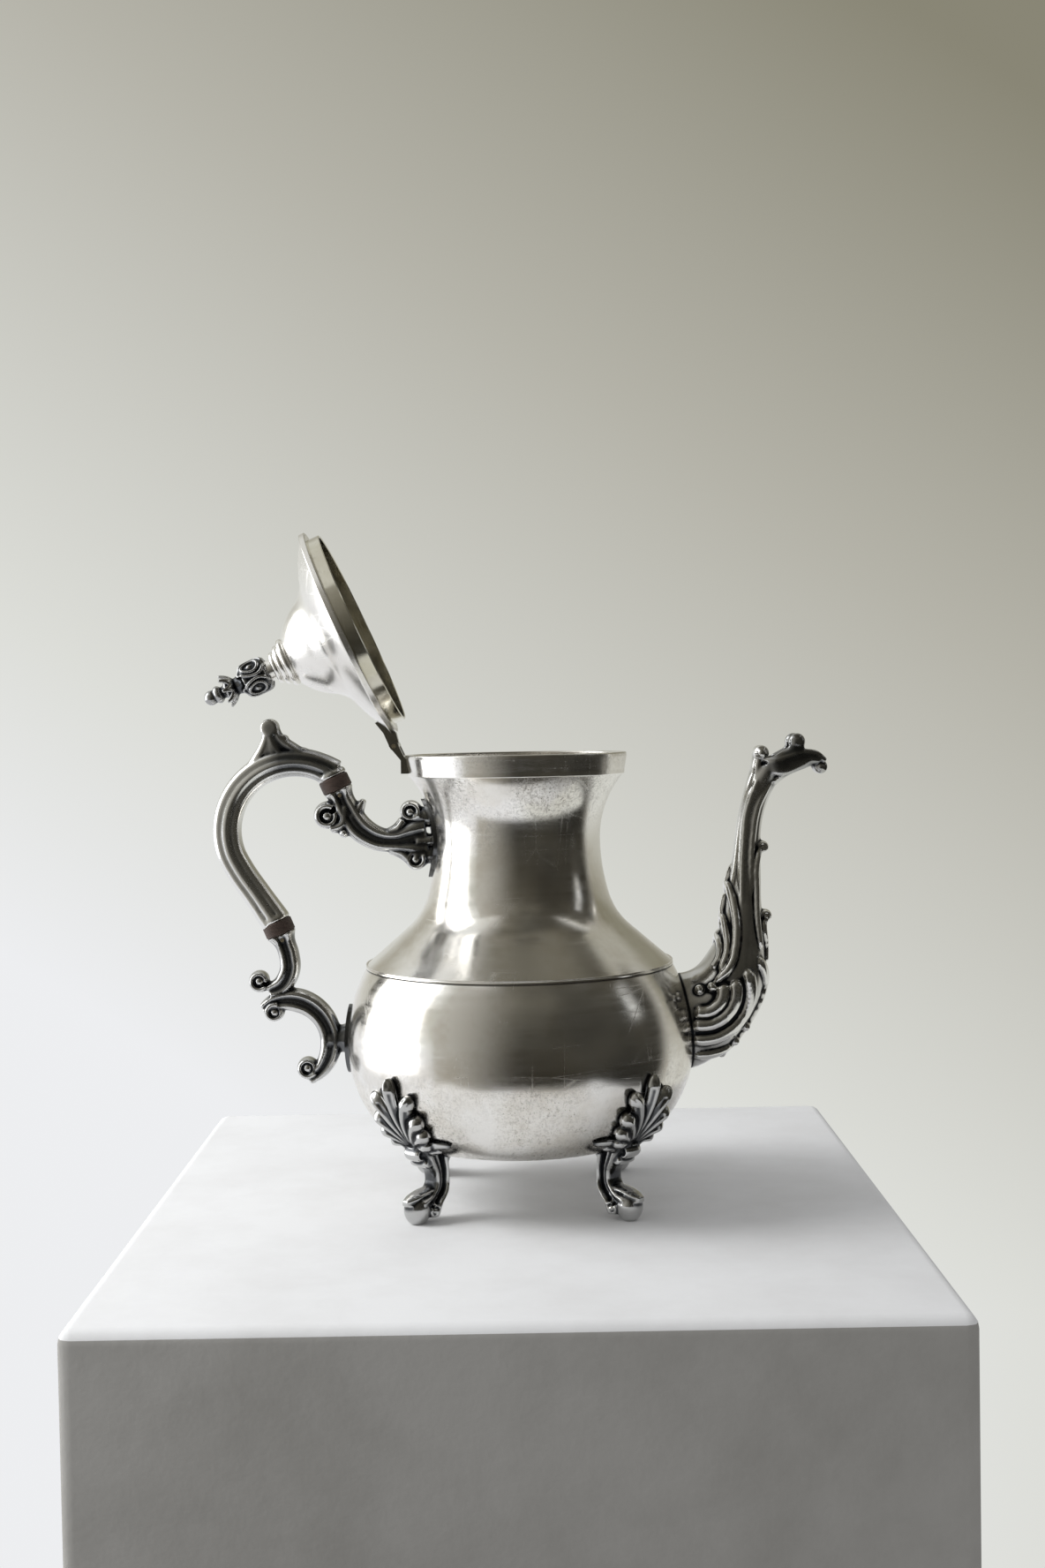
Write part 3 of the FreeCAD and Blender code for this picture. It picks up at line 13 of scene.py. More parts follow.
import bmesh
import bpy
import numpy as np
from mathutils import Matrix, Vector


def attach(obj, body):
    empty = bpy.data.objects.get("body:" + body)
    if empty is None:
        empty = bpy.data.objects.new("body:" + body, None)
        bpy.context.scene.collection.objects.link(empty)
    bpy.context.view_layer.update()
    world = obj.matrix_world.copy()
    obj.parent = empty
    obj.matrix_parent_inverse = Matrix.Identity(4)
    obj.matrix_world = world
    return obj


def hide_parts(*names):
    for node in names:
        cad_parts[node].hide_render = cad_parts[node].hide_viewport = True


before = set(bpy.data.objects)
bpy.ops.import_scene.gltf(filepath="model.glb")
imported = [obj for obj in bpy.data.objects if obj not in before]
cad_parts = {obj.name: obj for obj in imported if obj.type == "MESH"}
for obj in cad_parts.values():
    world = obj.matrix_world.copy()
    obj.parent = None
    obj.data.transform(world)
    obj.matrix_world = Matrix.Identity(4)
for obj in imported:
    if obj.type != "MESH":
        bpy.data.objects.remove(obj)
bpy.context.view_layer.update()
LOG = logging.getLogger("teapot")
MM = 0.001
CREASE = math.radians(40)
SIDE = np.array((0.0, 1.0, 0.0))
UP = np.array((0.0, 0.0, 1.0))
Colour = tuple[float, float, float]
Place = tuple[float, float]
Pattern = tuple[float, float, float]
Stations = Sequence[Sequence[float]]
Wall = Callable[[np.ndarray], np.ndarray]
Item = bpy.types.Object
Mesh = bpy.types.Mesh
Material = bpy.types.Material
Socket = bpy.types.NodeSocket


class Body(Enum):
    """Rigid groups that the pieces ride on."""

    POT = "pot"
    LID = "lid"


class Slot(Enum):
    """Finishes that the record names."""

    POLISHED = "polished_silver"
    CAST = "cast_silver"
    INSULATOR = "insulator"
    FIXING = "fixings"


# Shapes


@dataclass
class Form:
    """Closed skin of one carved form, in millimetres."""

    points: np.ndarray
    faces: list[tuple[int, ...]]

    def mirrored(self) -> "Form":
        """The same form on the other side of the pot's middle plane."""
        return Form(self.points * (1, -1, 1), [face[::-1] for face in self.faces])


class Section(Enum):
    """Cross sections of arms, as ovals (offset, half width, half depth) that share one outline."""

    PLAIN = ((0.0, 1.0, 1.0),)
    REEDED = ((0.0, 0.6, 1.0), (0.52, 0.5, 0.86), (-0.52, 0.5, 0.86))
    PAIRED = ((0.5, 0.5, 0.95), (-0.5, 0.5, 0.95), (0.0, 0.5, 0.84))
    FLAT = ((0.45, 0.55, 0.94), (-0.45, 0.55, 0.94), (0.0, 0.85, 1.0))
    LEG = ((0.66, 0.3, 0.34), (0.4, 0.36, 0.72), (0.05, 0.36, 0.92), (-0.5, 0.5, 1.0))

    def radii(self, angles: np.ndarray) -> np.ndarray:
        """Distance of the outline from its middle.

        Args:
            angles: directions round the section, in radians from its width's axis.

        Returns:
            One distance for each angle, as shares of the half width and half depth.
        """
        best = np.zeros_like(angles)
        for offset, wide, deep in self.value:
            a = (np.cos(angles) / wide) ** 2 + (np.sin(angles) / deep) ** 2
            b = offset * np.cos(angles) / wide**2
            c = (offset / wide) ** 2 - 1
            root = b**2 - a * c
            reach = np.where(root > 0, (b + np.sqrt(np.maximum(root, 0))) / a, 0)
            best = np.maximum(best, reach)
        return best


class Outline:
    """Profile of a turned piece, drawn stop by stop as (radius, height)."""

    CORNER = 0.12
    CORNER_SHARE = 0.3

    def __init__(self, start: Place) -> None:
        """Begin the profile at a stop."""
        self.stops: list[np.ndarray] = [np.array(start, float)]
        self.heading = np.array((1.0, 0.0))

    def line(self, *ends: Place) -> "Outline":
        """Go straight to each end in turn, with a short step at both ends of each run.

        Args:
            ends: places to go to.

        Returns:
            The outline itself, so that steps can follow on.
        """
        for end in ends:
            first = self.stops[-1]
            run = np.array(end, float) - first
            length = np.linalg.norm(run)
            self.heading = run / length
            edge = min(self.CORNER, self.CORNER_SHARE * length) / length
            for share in (edge, 0.5, 1 - edge, 1.0):
                self.stops.append(first + run * share)
        return self

    def flow(self, end: Place, steps: int = 24) -> "Outline":
        """Go on in an arc that leaves along the present heading.

        Args:
            end: where the arc ends.
            steps: number of its parts.

        Returns:
            The outline itself, so that steps can follow on.
        """
        first = self.stops[-1]
        chord = np.array(end, float) - first
        turn = 2 * math.atan2(
            self.heading[0] * chord[1] - self.heading[1] * chord[0], float(self.heading @ chord))
        length = np.linalg.norm(chord)
        lean = math.atan2(self.heading[1], self.heading[0])
        for step in range(1, steps + 1):
            share = step / steps
            reach = length * math.sin(turn * share / 2) / math.sin(turn / 2)
            angle = lean + turn * share / 2
            self.stops.append(first + reach * np.array((math.cos(angle), math.sin(angle))))
        self.heading = np.array((math.cos(lean + turn), math.sin(lean + turn)))
        return self

    def arc(self, end: Place, radius: float, bow: int, steps: int = 24) -> "Outline":
        """Go on in an arc of a radius that bows to the left of its travel, or to the right for -1.

        Args:
            end: where the arc ends.
            radius: its radius.
            bow: 1 for the left of its travel, -1 for the right.
            steps: number of its parts.

        Returns:
            The outline itself, so that steps can follow on.
        """
        chord = np.array(end, float) - self.stops[-1]
        half = math.asin(min(1.0, np.linalg.norm(chord) / 2 / radius))
        lean = math.atan2(chord[1], chord[0]) + bow * half
        self.heading = np.array((math.cos(lean), math.sin(lean)))
        return self.flow(end, steps)

    def points(self) -> np.ndarray:
        """All stops as rows."""
        return np.array(self.stops)

    def shell(self, wall: float) -> np.ndarray:
        """Closed profile of a sheet that lies inside this one.

        Args:
            wall: thickness of the sheet.

        Returns:
            Rows of (radius, height) up the outside and back down the inside.
        """
        outer = self.points()
        along = np.gradient(outer, axis=0)
        along /= np.linalg.norm(along, axis=1)[:, None]
        inner = outer + wall * np.stack((-along[:, 1], along[:, 0]), axis=1)
        inner[:, 0] = np.maximum(inner[:, 0], 0)
        return np.vstack((outer, inner[::-1]))


def through(stations: Stations, count: int) -> np.ndarray:
    """Rows at even steps along a smooth line through stations.

    Args:
        stations: rows whose first two values are a place in the XZ plane.
        count: number of rows wanted.

    Returns:
        The rows, with every value carried smoothly from station to station.
    """
    rows = np.asarray(stations, float)
    knots = np.concatenate(([0], np.cumsum(np.linalg.norm(np.diff(rows[:, :2], axis=0), axis=1))))
    slopes = np.gradient(rows, knots, axis=0)
    places = np.linspace(0, knots[-1], count)
    index = np.clip(np.searchsorted(knots, places, side="right") - 1, 0, len(knots) - 2)
    gap = np.diff(knots)[index][:, None]
    share = (places - knots[index])[:, None] / gap
    rest = 1 - share
    return (
        rows[index] * rest**2 * (1 + 2 * share)
        + rows[index + 1] * share**2 * (3 - 2 * share)
        + gap * share * rest * (rest * slopes[index] - share * slopes[index + 1])
    )


def unit(rows: np.ndarray) -> np.ndarray:
    """Rows scaled to length one."""
    return rows / np.maximum(np.linalg.norm(rows, axis=-1, keepdims=True), 1e-12)


def quads(rings: int, steps: int, closed: bool = False) -> list[tuple[int, ...]]:
    """Faces between rings of points.

    Args:
        rings: number of rings.
        steps: points round each ring.
        closed: whether the last ring joins the first.

    Returns:
        The corners of each face.
    """
    index = np.arange(rings * steps).reshape(rings, steps)
    after = np.roll(index, -1, axis=1)
    faces = np.stack((index, after, np.roll(after, -1, axis=0), np.roll(index, -1, axis=0)), axis=-1)
    return [tuple(quad) for quad in faces[: rings if closed else -1].reshape(-1, 4).tolist()]


def skin(rows: np.ndarray) -> Form:
    """Closed skin over rings of points, with a point in the middle of each end.

    Args:
        rows: rings of points, one row for each ring.

    Returns:
        Its points and faces.
    """
    rings, steps = rows.shape[:2]
    first = rings * steps
    last = first - steps
    after = [(step + 1) % steps for step in range(steps)]
    faces = quads(rings, steps)
    faces += [(first, b, a) for a, b in enumerate(after)]
    faces += [(first + 1, last + a, last + b) for a, b in enumerate(after)]
    return Form(np.vstack((rows.reshape(-1, 3), rows[0].mean(0), rows[-1].mean(0))), faces)


def joined(forms: Sequence[Form]) -> Form:
    """Several forms as one.

    Args:
        forms: forms to put together.

    Returns:
        All their points and faces.
    """
    starts = np.cumsum([0] + [len(form.points) for form in forms[:-1]]).tolist()
    faces = [
        tuple(corner + start for corner in face)
        for form, start in zip(forms, starts) for face in form.faces]
    return Form(np.vstack([form.points for form in forms]), faces)


def rod(
    path: np.ndarray,
    wide: np.ndarray | float,
    tall: np.ndarray | float,
    normal: np.ndarray = SIDE,
    steps: int = 16,
) -> Form:
    """Rod of oval section along a path.

    Args:
        path: points along the rod.
        wide: half widths across the normal.
        tall: half heights along the normal.
        normal: direction of the height, for all points or for each.
        steps: points round the section.

    Returns:
        The rod's closed skin.
    """
    along = unit(np.gradient(path, axis=0))
    across = unit(np.cross(along, np.broadcast_to(normal, path.shape)))
    rise = np.cross(across, along)
    angle = np.linspace(0, 2 * math.pi, steps, endpoint=False)[None, :, None]
    wide = np.broadcast_to(wide, len(path))[:, None, None]
    tall = np.broadcast_to(tall, len(path))[:, None, None]
    rows = path[:, None] + wide * np.cos(angle) * across[:, None] + tall * np.sin(angle) * rise[:, None]
    return skin(rows)


def taper(count: int, start: float, end: float, swell: float = 0.5) -> np.ndarray:
    """Shares of a width along a leaf or rib, rounded at both ends.

    Args:
        count: number of shares.
        start: length of the rounded start, as a share of the whole.
        end: length of the rounded end.
        swell: share kept at the start before it grows to the whole.

    Returns:
        The shares.
    """
    place = np.linspace(0, 1, count)
    rounded = np.sqrt(np.clip(1 - np.clip(1 - place / start, 0, 1) ** 2, 0.02, 1))
    closed = np.sqrt(np.clip(1 - np.clip(1 - (1 - place) / end, 0, 1) ** 2, 0.02, 1))
    return rounded * closed * (swell + (1 - swell) * place)


def ball(
    centre: Sequence[float], radii: Sequence[float] | float, rings: int = 14, steps: int = 22
) -> Form:
    """Ball or egg with radii along X, Y and Z.

    Args:
        centre: its middle.
        radii: one radius, or one for each axis.
        rings: rings from pole to pole.
        steps: points on each ring.

    Returns:
        Its points and faces.
    """
    pole = 0.12
    polar = np.linspace(pole, math.pi - pole, rings)[:, None]
    turn = np.linspace(0, 2 * math.pi, steps, endpoint=False)[None, :]
    rows = np.stack(
        (np.sin(polar) * np.cos(turn), np.sin(polar) * np.sin(turn), np.cos(polar) + 0 * turn), axis=-1)
    return skin(np.asarray(centre, float) + rows * np.broadcast_to(radii, 3))


def roll(centre: Place, radius: float, half: float, steps: int = 32) -> Form:
    """Barrel that lies across the handle's plane, with rounded ends.

    Args:
        centre: its middle in the handle's plane.
        radius: its radius.
        half: half its length from side to side.
        steps: points on each ring.

    Returns:
        Its points and faces.
    """
    share = np.array((-1.0, -0.96, -0.85, -0.6, 0.0, 0.6, 0.85, 0.96, 1.0))
    radii = radius * np.array((0.7, 0.86, 0.96, 1.0, 1.0, 1.0, 0.96, 0.86, 0.7))
    path = np.array([(centre[0], half * step, centre[1]) for step in share])
    return rod(path, radii, radii, UP, steps)


def arm(stations: Stations, section: Section, count: int, steps: int = 64) -> Form:
    """Arm of a casting in the handle's plane.

    Args:
        stations: rows of (x, z, half width, half depth).
        section: shape of the arm across its run.
        count: rings along the arm.
        steps: points round each ring.

    Returns:
        The arm's closed skin.
    """
    rows = through(stations, count)
    along = unit(np.gradient(rows[:, :2], axis=0))
    across = np.stack((along[:, 1], 0 * along[:, 0], -along[:, 0]), axis=1)
    angle = np.linspace(0, 2 * math.pi, steps, endpoint=False)
    reach = section.radii(angle)
    middle = np.stack((rows[:, 0], 0 * rows[:, 0], rows[:, 1]), axis=1)
    wide = rows[:, 2][:, None] * (reach * np.cos(angle))[None]
    deep = rows[:, 3][:, None] * (reach * np.sin(angle))[None]
    return skin(middle[:, None] + wide[..., None] * across[:, None] + deep[..., None] * SIDE)


@dataclass(frozen=True)
class Run:
    """Arm of a casting, by its stations (x, z, half width, half depth), its section and its rings."""

    stations: tuple[tuple[float, float, float, float], ...]
    section: Section = Section.PLAIN
    rings: int = 20

    def form(self, x: float = 0.0, z: float = 0.0) -> Form:
        """The arm's skin, with its stations counted from a place in the handle's plane."""
        stations = [(x + aside, z + above, *sizes) for aside, above, *sizes in self.stations]
        return arm(stations, self.section, self.rings)


Curl = tuple[Place, float, float, float, int]


def volute(
    centre: Place, radius: float, half: float, start: float, turn: int, sweep: float = 330.0
) -> list[Form]:
    """Scroll end in the handle's plane: an arm that curls round a ball-shaped eye.

    Args:
        centre: eye of the scroll.
        radius: reach of its outer turn.
        half: half its width from side to side.
        start: angle at which the arm comes in, in degrees.
        turn: 1 to wind towards Z from X, -1 to wind the other way.
        sweep: how far the arm winds, in degrees.

    Returns:
        The forms that make up the scroll.
    """
    share = np.linspace(0, 1, 48)
    angle = np.radians(start + turn * sweep * share)
    reach = radius * (0.68 - 0.14 * share)
    path = np.stack(
        (centre[0] + reach * np.cos(angle), 0 * angle, centre[1] + reach * np.sin(angle)), axis=1)
    forms = [rod(path, radius * (0.32 - 0.08 * share), half * (1 - 0.14 * share), SIDE, 24)]
    forms.append(roll(centre, 0.6 * radius, 0.5 * half))
    for face in (-1, 1):
        forms.append(ball((centre[0], face * (half - 0.42 * radius), centre[1]), 0.36 * radius))
    return forms


# Meshes


def finished_mesh(name: str, form: Form) -> Mesh:
    """Mesh in metres of a form, with smooth faces that look outwards.

    Args:
        name: name of the mesh.
        form: points in millimetres, and faces.

    Returns:
        The mesh.
    """
    mesh = bpy.data.meshes.new(name)
    mesh.from_pydata((form.points * MM).tolist(), [], form.faces)
    tidy = bmesh.new()
    tidy.from_mesh(mesh)
    bmesh.ops.remove_doubles(tidy, verts=tidy.verts, dist=1e-7)
    bmesh.ops.recalc_face_normals(tidy, faces=tidy.faces)
    tidy.to_mesh(mesh)
    tidy.free()
    mesh.shade_smooth()
    return mesh


def new_object(name: str, data: bpy.types.ID) -> Item:
    """Object of a mesh, lamp or camera, linked to the scene.

    Args:
        name: name of the object.
        data: what it shows.

    Returns:
        The object.
    """
    item = bpy.data.objects.new(name, data)
    bpy.context.scene.collection.objects.link(item)
    return item


def settle(item: Item) -> Mesh:
    """Give an object the mesh that its modifiers make of it.

    Args:
        item: object with modifiers.

    Returns:
        The new mesh.
    """
    rough = item.data
    mesh = bpy.data.meshes.new_from_object(item.evaluated_get(bpy.context.evaluated_depsgraph_get()))
    item.modifiers.clear()
    item.data = mesh
    bpy.data.meshes.remove(rough)
    return mesh


def turned(name: str, profile: np.ndarray, steps: int = 200) -> Item:
    """Piece turned about the pot's axis from a closed profile.

    Args:
        name: the piece's name.
        profile: rows of (radius, height).
        steps: faces round the piece.

    Returns:
        The piece.
    """
    angle = np.linspace(0, 2 * math.pi, steps, endpoint=False)
    radius, height = profile[:, 0][:, None], profile[:, 1][:, None]
    rows = np.stack((radius * np.cos(angle), radius * np.sin(angle), height + 0 * angle), axis=-1)
    mesh = finished_mesh(name, Form(rows.reshape(-1, 3), quads(len(profile), steps, True)))
    mesh.set_sharp_from_angle(angle=CREASE)
    return new_object(name, mesh)


def read_points(mesh: Mesh, what: str = "co") -> np.ndarray:
    """Places or normals of a mesh's points, as rows.

    Args:
        mesh: mesh to read.
        what: co for places, normal for normals.

    Returns:
        One row of three values for each point.
    """
    values = np.empty(3 * len(mesh.vertices))
    mesh.vertices.foreach_get(what, values)
    return values.reshape(-1, 3)


def spread(mesh: Mesh, values: np.ndarray, times: int) -> np.ndarray:
    """Average values over each point's neighbours, several times.

    Args:
        mesh: mesh whose edges tell the neighbours.
        values: one row for each point.
        times: how often to average.

    Returns:
        The averaged values.
    """
    edges = np.empty(2 * len(mesh.edges), np.int32)
    mesh.edges.foreach_get("vertices", edges)
    first, second = edges[::2], edges[1::2]
    size = len(mesh.vertices)
    degree = np.maximum(np.bincount(edges, minlength=size), 1)
    flat = values.reshape(size, -1)
    for _ in range(times):
        total = np.zeros_like(flat)
        for column in range(flat.shape[1]):
            total[:, column] = (
                np.bincount(first, flat[second, column], size)
                + np.bincount(second, flat[first, column], size))
        flat = total / degree[:, None]
    return flat.reshape(values.shape)


@dataclass(frozen=True)
class Founder:
    """Way in which forms are cast, with lengths in millimetres.

    A mark is a reach and a weight: how far the skin is evened out to find its ridges and
    hollows, and how strongly they count.
    """

    marks: tuple[Place, ...] = ((0.94, -5.2), (2.3, -1.8))
    # Height and start of the black band where a casting meets the vessel wall: partly tarnish, partly painted
    # shade.
    seam_tarnish_and_shade: Place = (1.1, 1.15)
    seat: float = 0.7
    evening: int = 2

    def cast(
        self, name: str, forms: Sequence[Form], grain: float, wall: Wall | None = None, relax: float = 0.62
    ) -> Item:
        """One casting out of overlapping forms, with its ridges and hollows marked for their finish.

        Args:
            name: the piece's name.
            forms: the forms that flow into each other.
            grain: size of the mesh's faces.
            wall: radius of the vessel at given heights, where the casting is seated on one.
            relax: reach of the skin's smoothing.

        Returns:
            The piece.
        """
        whole = joined(forms)
        rough = bpy.data.meshes.new(f"{name}_forms")
        rough.from_pydata(whole.points.tolist(), [], whole.faces)
        item = new_object(name, rough)
        remesh = item.modifiers.new("fuse", "REMESH")
        remesh.mode = "VOXEL"
        remesh.voxel_size = grain
        mesh = settle(item)
        mesh.name = name
        place = spread(mesh, read_points(mesh), round((relax / grain) ** 2))
        mesh.vertices.foreach_set("co", place.ravel())
        mesh.update()
        normal = read_points(mesh, "normal")
        relief = np.zeros(len(place))
        for reach, weight in self.marks:
            bulge = spread(mesh, place, round((reach / grain) ** 2)) - place
            relief += weight * (bulge * normal).sum(1)
        relief = np.clip(relief, -1, 1)
        # Near the vessel wall the skin is marked as hollow and turns black: partly tarnish in the join,
        # partly painted shade.
        if wall is not None:
            radius = np.linalg.norm(place[:, :2], axis=1)
            height, start = self.seam_tarnish_and_shade
            relief = np.minimum(relief, np.clip((radius - wall(place[:, 2])) / height - start, -1, 1))
            sunk = np.maximum(wall(place[:, 2]) - self.seat, radius) / np.maximum(radius, 1e-6)
            place[:, :2] *= sunk[:, None]
        mesh.vertices.foreach_set("co", (place * MM).ravel())
        mark = mesh.attributes.new("relief", "FLOAT", "POINT")
        mark.data.foreach_set("value", spread(mesh, relief, self.evening).astype(np.float32))
        mesh.update()
        mesh.shade_smooth()
        return item


FOUNDER = Founder()


def dress(item: Item, material: Material, body: Body, node: str) -> None:
    """Give a piece its finish, the body it rides on and the solid it stands for.

    Args:
        item: the piece.
        material: its finish.
        body: the body it moves with.
        node: the solid that it stands for.
    """
    item.data.materials.clear()
    item.data.materials.append(material)
    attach(item, body.value)
    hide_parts(node)
    LOG.info("%s: %d faces on %s", item.name, len(item.data.polygons), body.value)


def dress_node(name: str, material: Material) -> None:
    """Give a solid that stays in view its finish.

    Args:
        name: name of the solid's node.
        material: finish to wear.
    """
    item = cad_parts[name]
    item.data.materials.clear()
    item.data.materials.append(material)
    LOG.info("%s: solid kept", name)


# Finishes


class Nodes:
    """Node tree, with short ways to add nodes and join them."""

    def __init__(self, tree: bpy.types.NodeTree) -> None:
        """Start with an empty tree."""
        self.tree = tree
        tree.nodes.clear()

    def add(self, kind: str, **settings: object) -> bpy.types.Node:
        """New node with some of its settings.

        Args:
            kind: type of the node.
            settings: properties to set on it.

        Returns:
            The node.
        """
        node = self.tree.nodes.new(kind)
        for key, value in settings.items():
            setattr(node, key, value)
        return node

    def join(self, source: Socket, target: Socket) -> None:
        """Lead one socket into another."""
        self.tree.links.new(source, target)

    def fit(self, source: Socket, old: Place, new: Place = (0, 1), kind: str = "LINEAR") -> Socket:
        """Values carried from one range to another and held inside it.

        Args:
            source: values to carry.
            old: range they come in.
            new: range they go to.
            kind: how the range is crossed.

        Returns:
            The carried values.
        """
        node = self.add("ShaderNodeMapRange", interpolation_type=kind)
        self.join(source, node.inputs[0])
        for index, value in enumerate((*old, *new), 1):
            node.inputs[index].default_value = value
        return node.outputs[0]

    def math(self, kind: str, first: Socket, *others: Socket | float) -> Socket:
        """Sum, product or other step of values, taken one after the other.

        Args:
            kind: name of the step.
            first: value to start with.
            others: values to take in turn.

        Returns:
            The result.
        """
        for other in others:
            node = self.add("ShaderNodeMath", operation=kind)
            self.join(first, node.inputs[0])
            if isinstance(other, (int, float)):
                node.inputs[1].default_value = other
            else:
                self.join(other, node.inputs[1])
            first = node.outputs[0]
        return first

    def tint(self, share: Socket, first: Colour | Socket, second: Colour | Socket) -> Socket:
        """Colour between a first one and a second one.

        Args:
            share: how much of the second colour shows.
            first: colour at 0.
            second: colour at 1.

        Returns:
            The mixed colour.
        """
        node = self.add("ShaderNodeMix", data_type="RGBA")
        self.join(share, node.inputs[0])
        for index, colour in ((6, first), (7, second)):
            if isinstance(colour, tuple):
                node.inputs[index].default_value = (*colour, 1)
            else:
                self.join(colour, node.inputs[index])
        return node.outputs[2]

    def axes(self, place: Socket) -> bpy.types.NodeOutputs:
        """X, Y and Z of a place.

        Args:
            place: place to take apart.

        Returns:
            The three values.
        """
        node = self.add("ShaderNodeSeparateXYZ")
        self.join(place, node.inputs[0])
        return node.outputs


class Shader(Nodes):
    """Nodes of one material, with its main shader at hand."""

    def __init__(self, name: str) -> None:
        """Start an empty material.

        Args:
            name: name of the material.
        """
        self.material = bpy.data.materials.new(name)
        self.material.use_nodes = True
        super().__init__(self.material.node_tree)
        self.main = self.add("ShaderNodeBsdfPrincipled")
        self.join(self.main.outputs[0], self.add("ShaderNodeOutputMaterial").inputs[0])
        self.place = self.add("ShaderNodeTexCoord").outputs["Object"]

    def set(self, **values: object) -> None:
        """Set values of the main shader, named with _ for spaces, and lead sockets into it."""
        for key, value in values.items():
            socket = self.main.inputs[key.replace("_", " ")]
            if isinstance(value, Socket):
                self.join(value, socket)
            else:
                socket.default_value = value

    def stretched(self, scale: Sequence[float], turn: Sequence[float] = (0, 0, 0)) -> Socket:
        """Places scaled and turned, in degrees, for a pattern with a direction.

        Args:
            scale: scale along X, Y and Z.
            turn: turn about X, Y and Z.

        Returns:
            The places.
        """
        node = self.add("ShaderNodeMapping")
        node.inputs["Scale"].default_value = scale
        node.inputs["Rotation"].default_value = [math.radians(angle) for angle in turn]
        self.join(self.place, node.inputs["Vector"])
        return node.outputs[0]

    def noise(self, pattern: Pattern, place: Socket | None = None) -> Socket:
        """Cloudy pattern, by its clouds to the metre, its detail and its roughness.

        Args:
            pattern: the pattern's numbers.
            place: places to draw it on.

        Returns:
            Values from 0 to 1.
        """
        node = self.add("ShaderNodeTexNoise")
        for key, value in zip(("Scale", "Detail", "Roughness"), pattern):
            node.inputs[key].default_value = value
        self.join(place or self.place, node.inputs["Vector"])
        return node.outputs[0]

    def hairlines(self, scale: Sequence[float], turn: Sequence[float], width: float) -> Socket:
        """Fine long scratches, 1 on the line and 0 beside it.

        Args:
            scale: scale along X, Y and Z.
            turn: turn about X, Y and Z.
            width: width of a line.

        Returns:
            Values from 0 to 1.
        """
        node = self.add("ShaderNodeTexVoronoi", feature="DISTANCE_TO_EDGE")
        node.inputs["Scale"].default_value = 1.0
        self.join(self.stretched(scale, turn), node.inputs["Vector"])
        return self.fit(node.outputs["Distance"], (0, width), (1, 0))

    def relief(self, height: Socket, strength: float, depth: float) -> None:
        """Fine relief of the surface, depth in millimetres.

        Args:
            height: height of the surface.
            strength: share of it that shows.
            depth: its depth.
        """
        node = self.add("ShaderNodeBump")
        node.inputs["Strength"].default_value = strength
        node.inputs["Distance"].default_value = depth * MM
        self.join(height, node.inputs["Height"])
        self.set(Normal=node.outputs[0])

    def height(self, low: float, high: float) -> Socket:
        """Share that grows from one height to another, in millimetres."""
        return self.fit(self.axes(self.place)[2], (low * MM, high * MM))


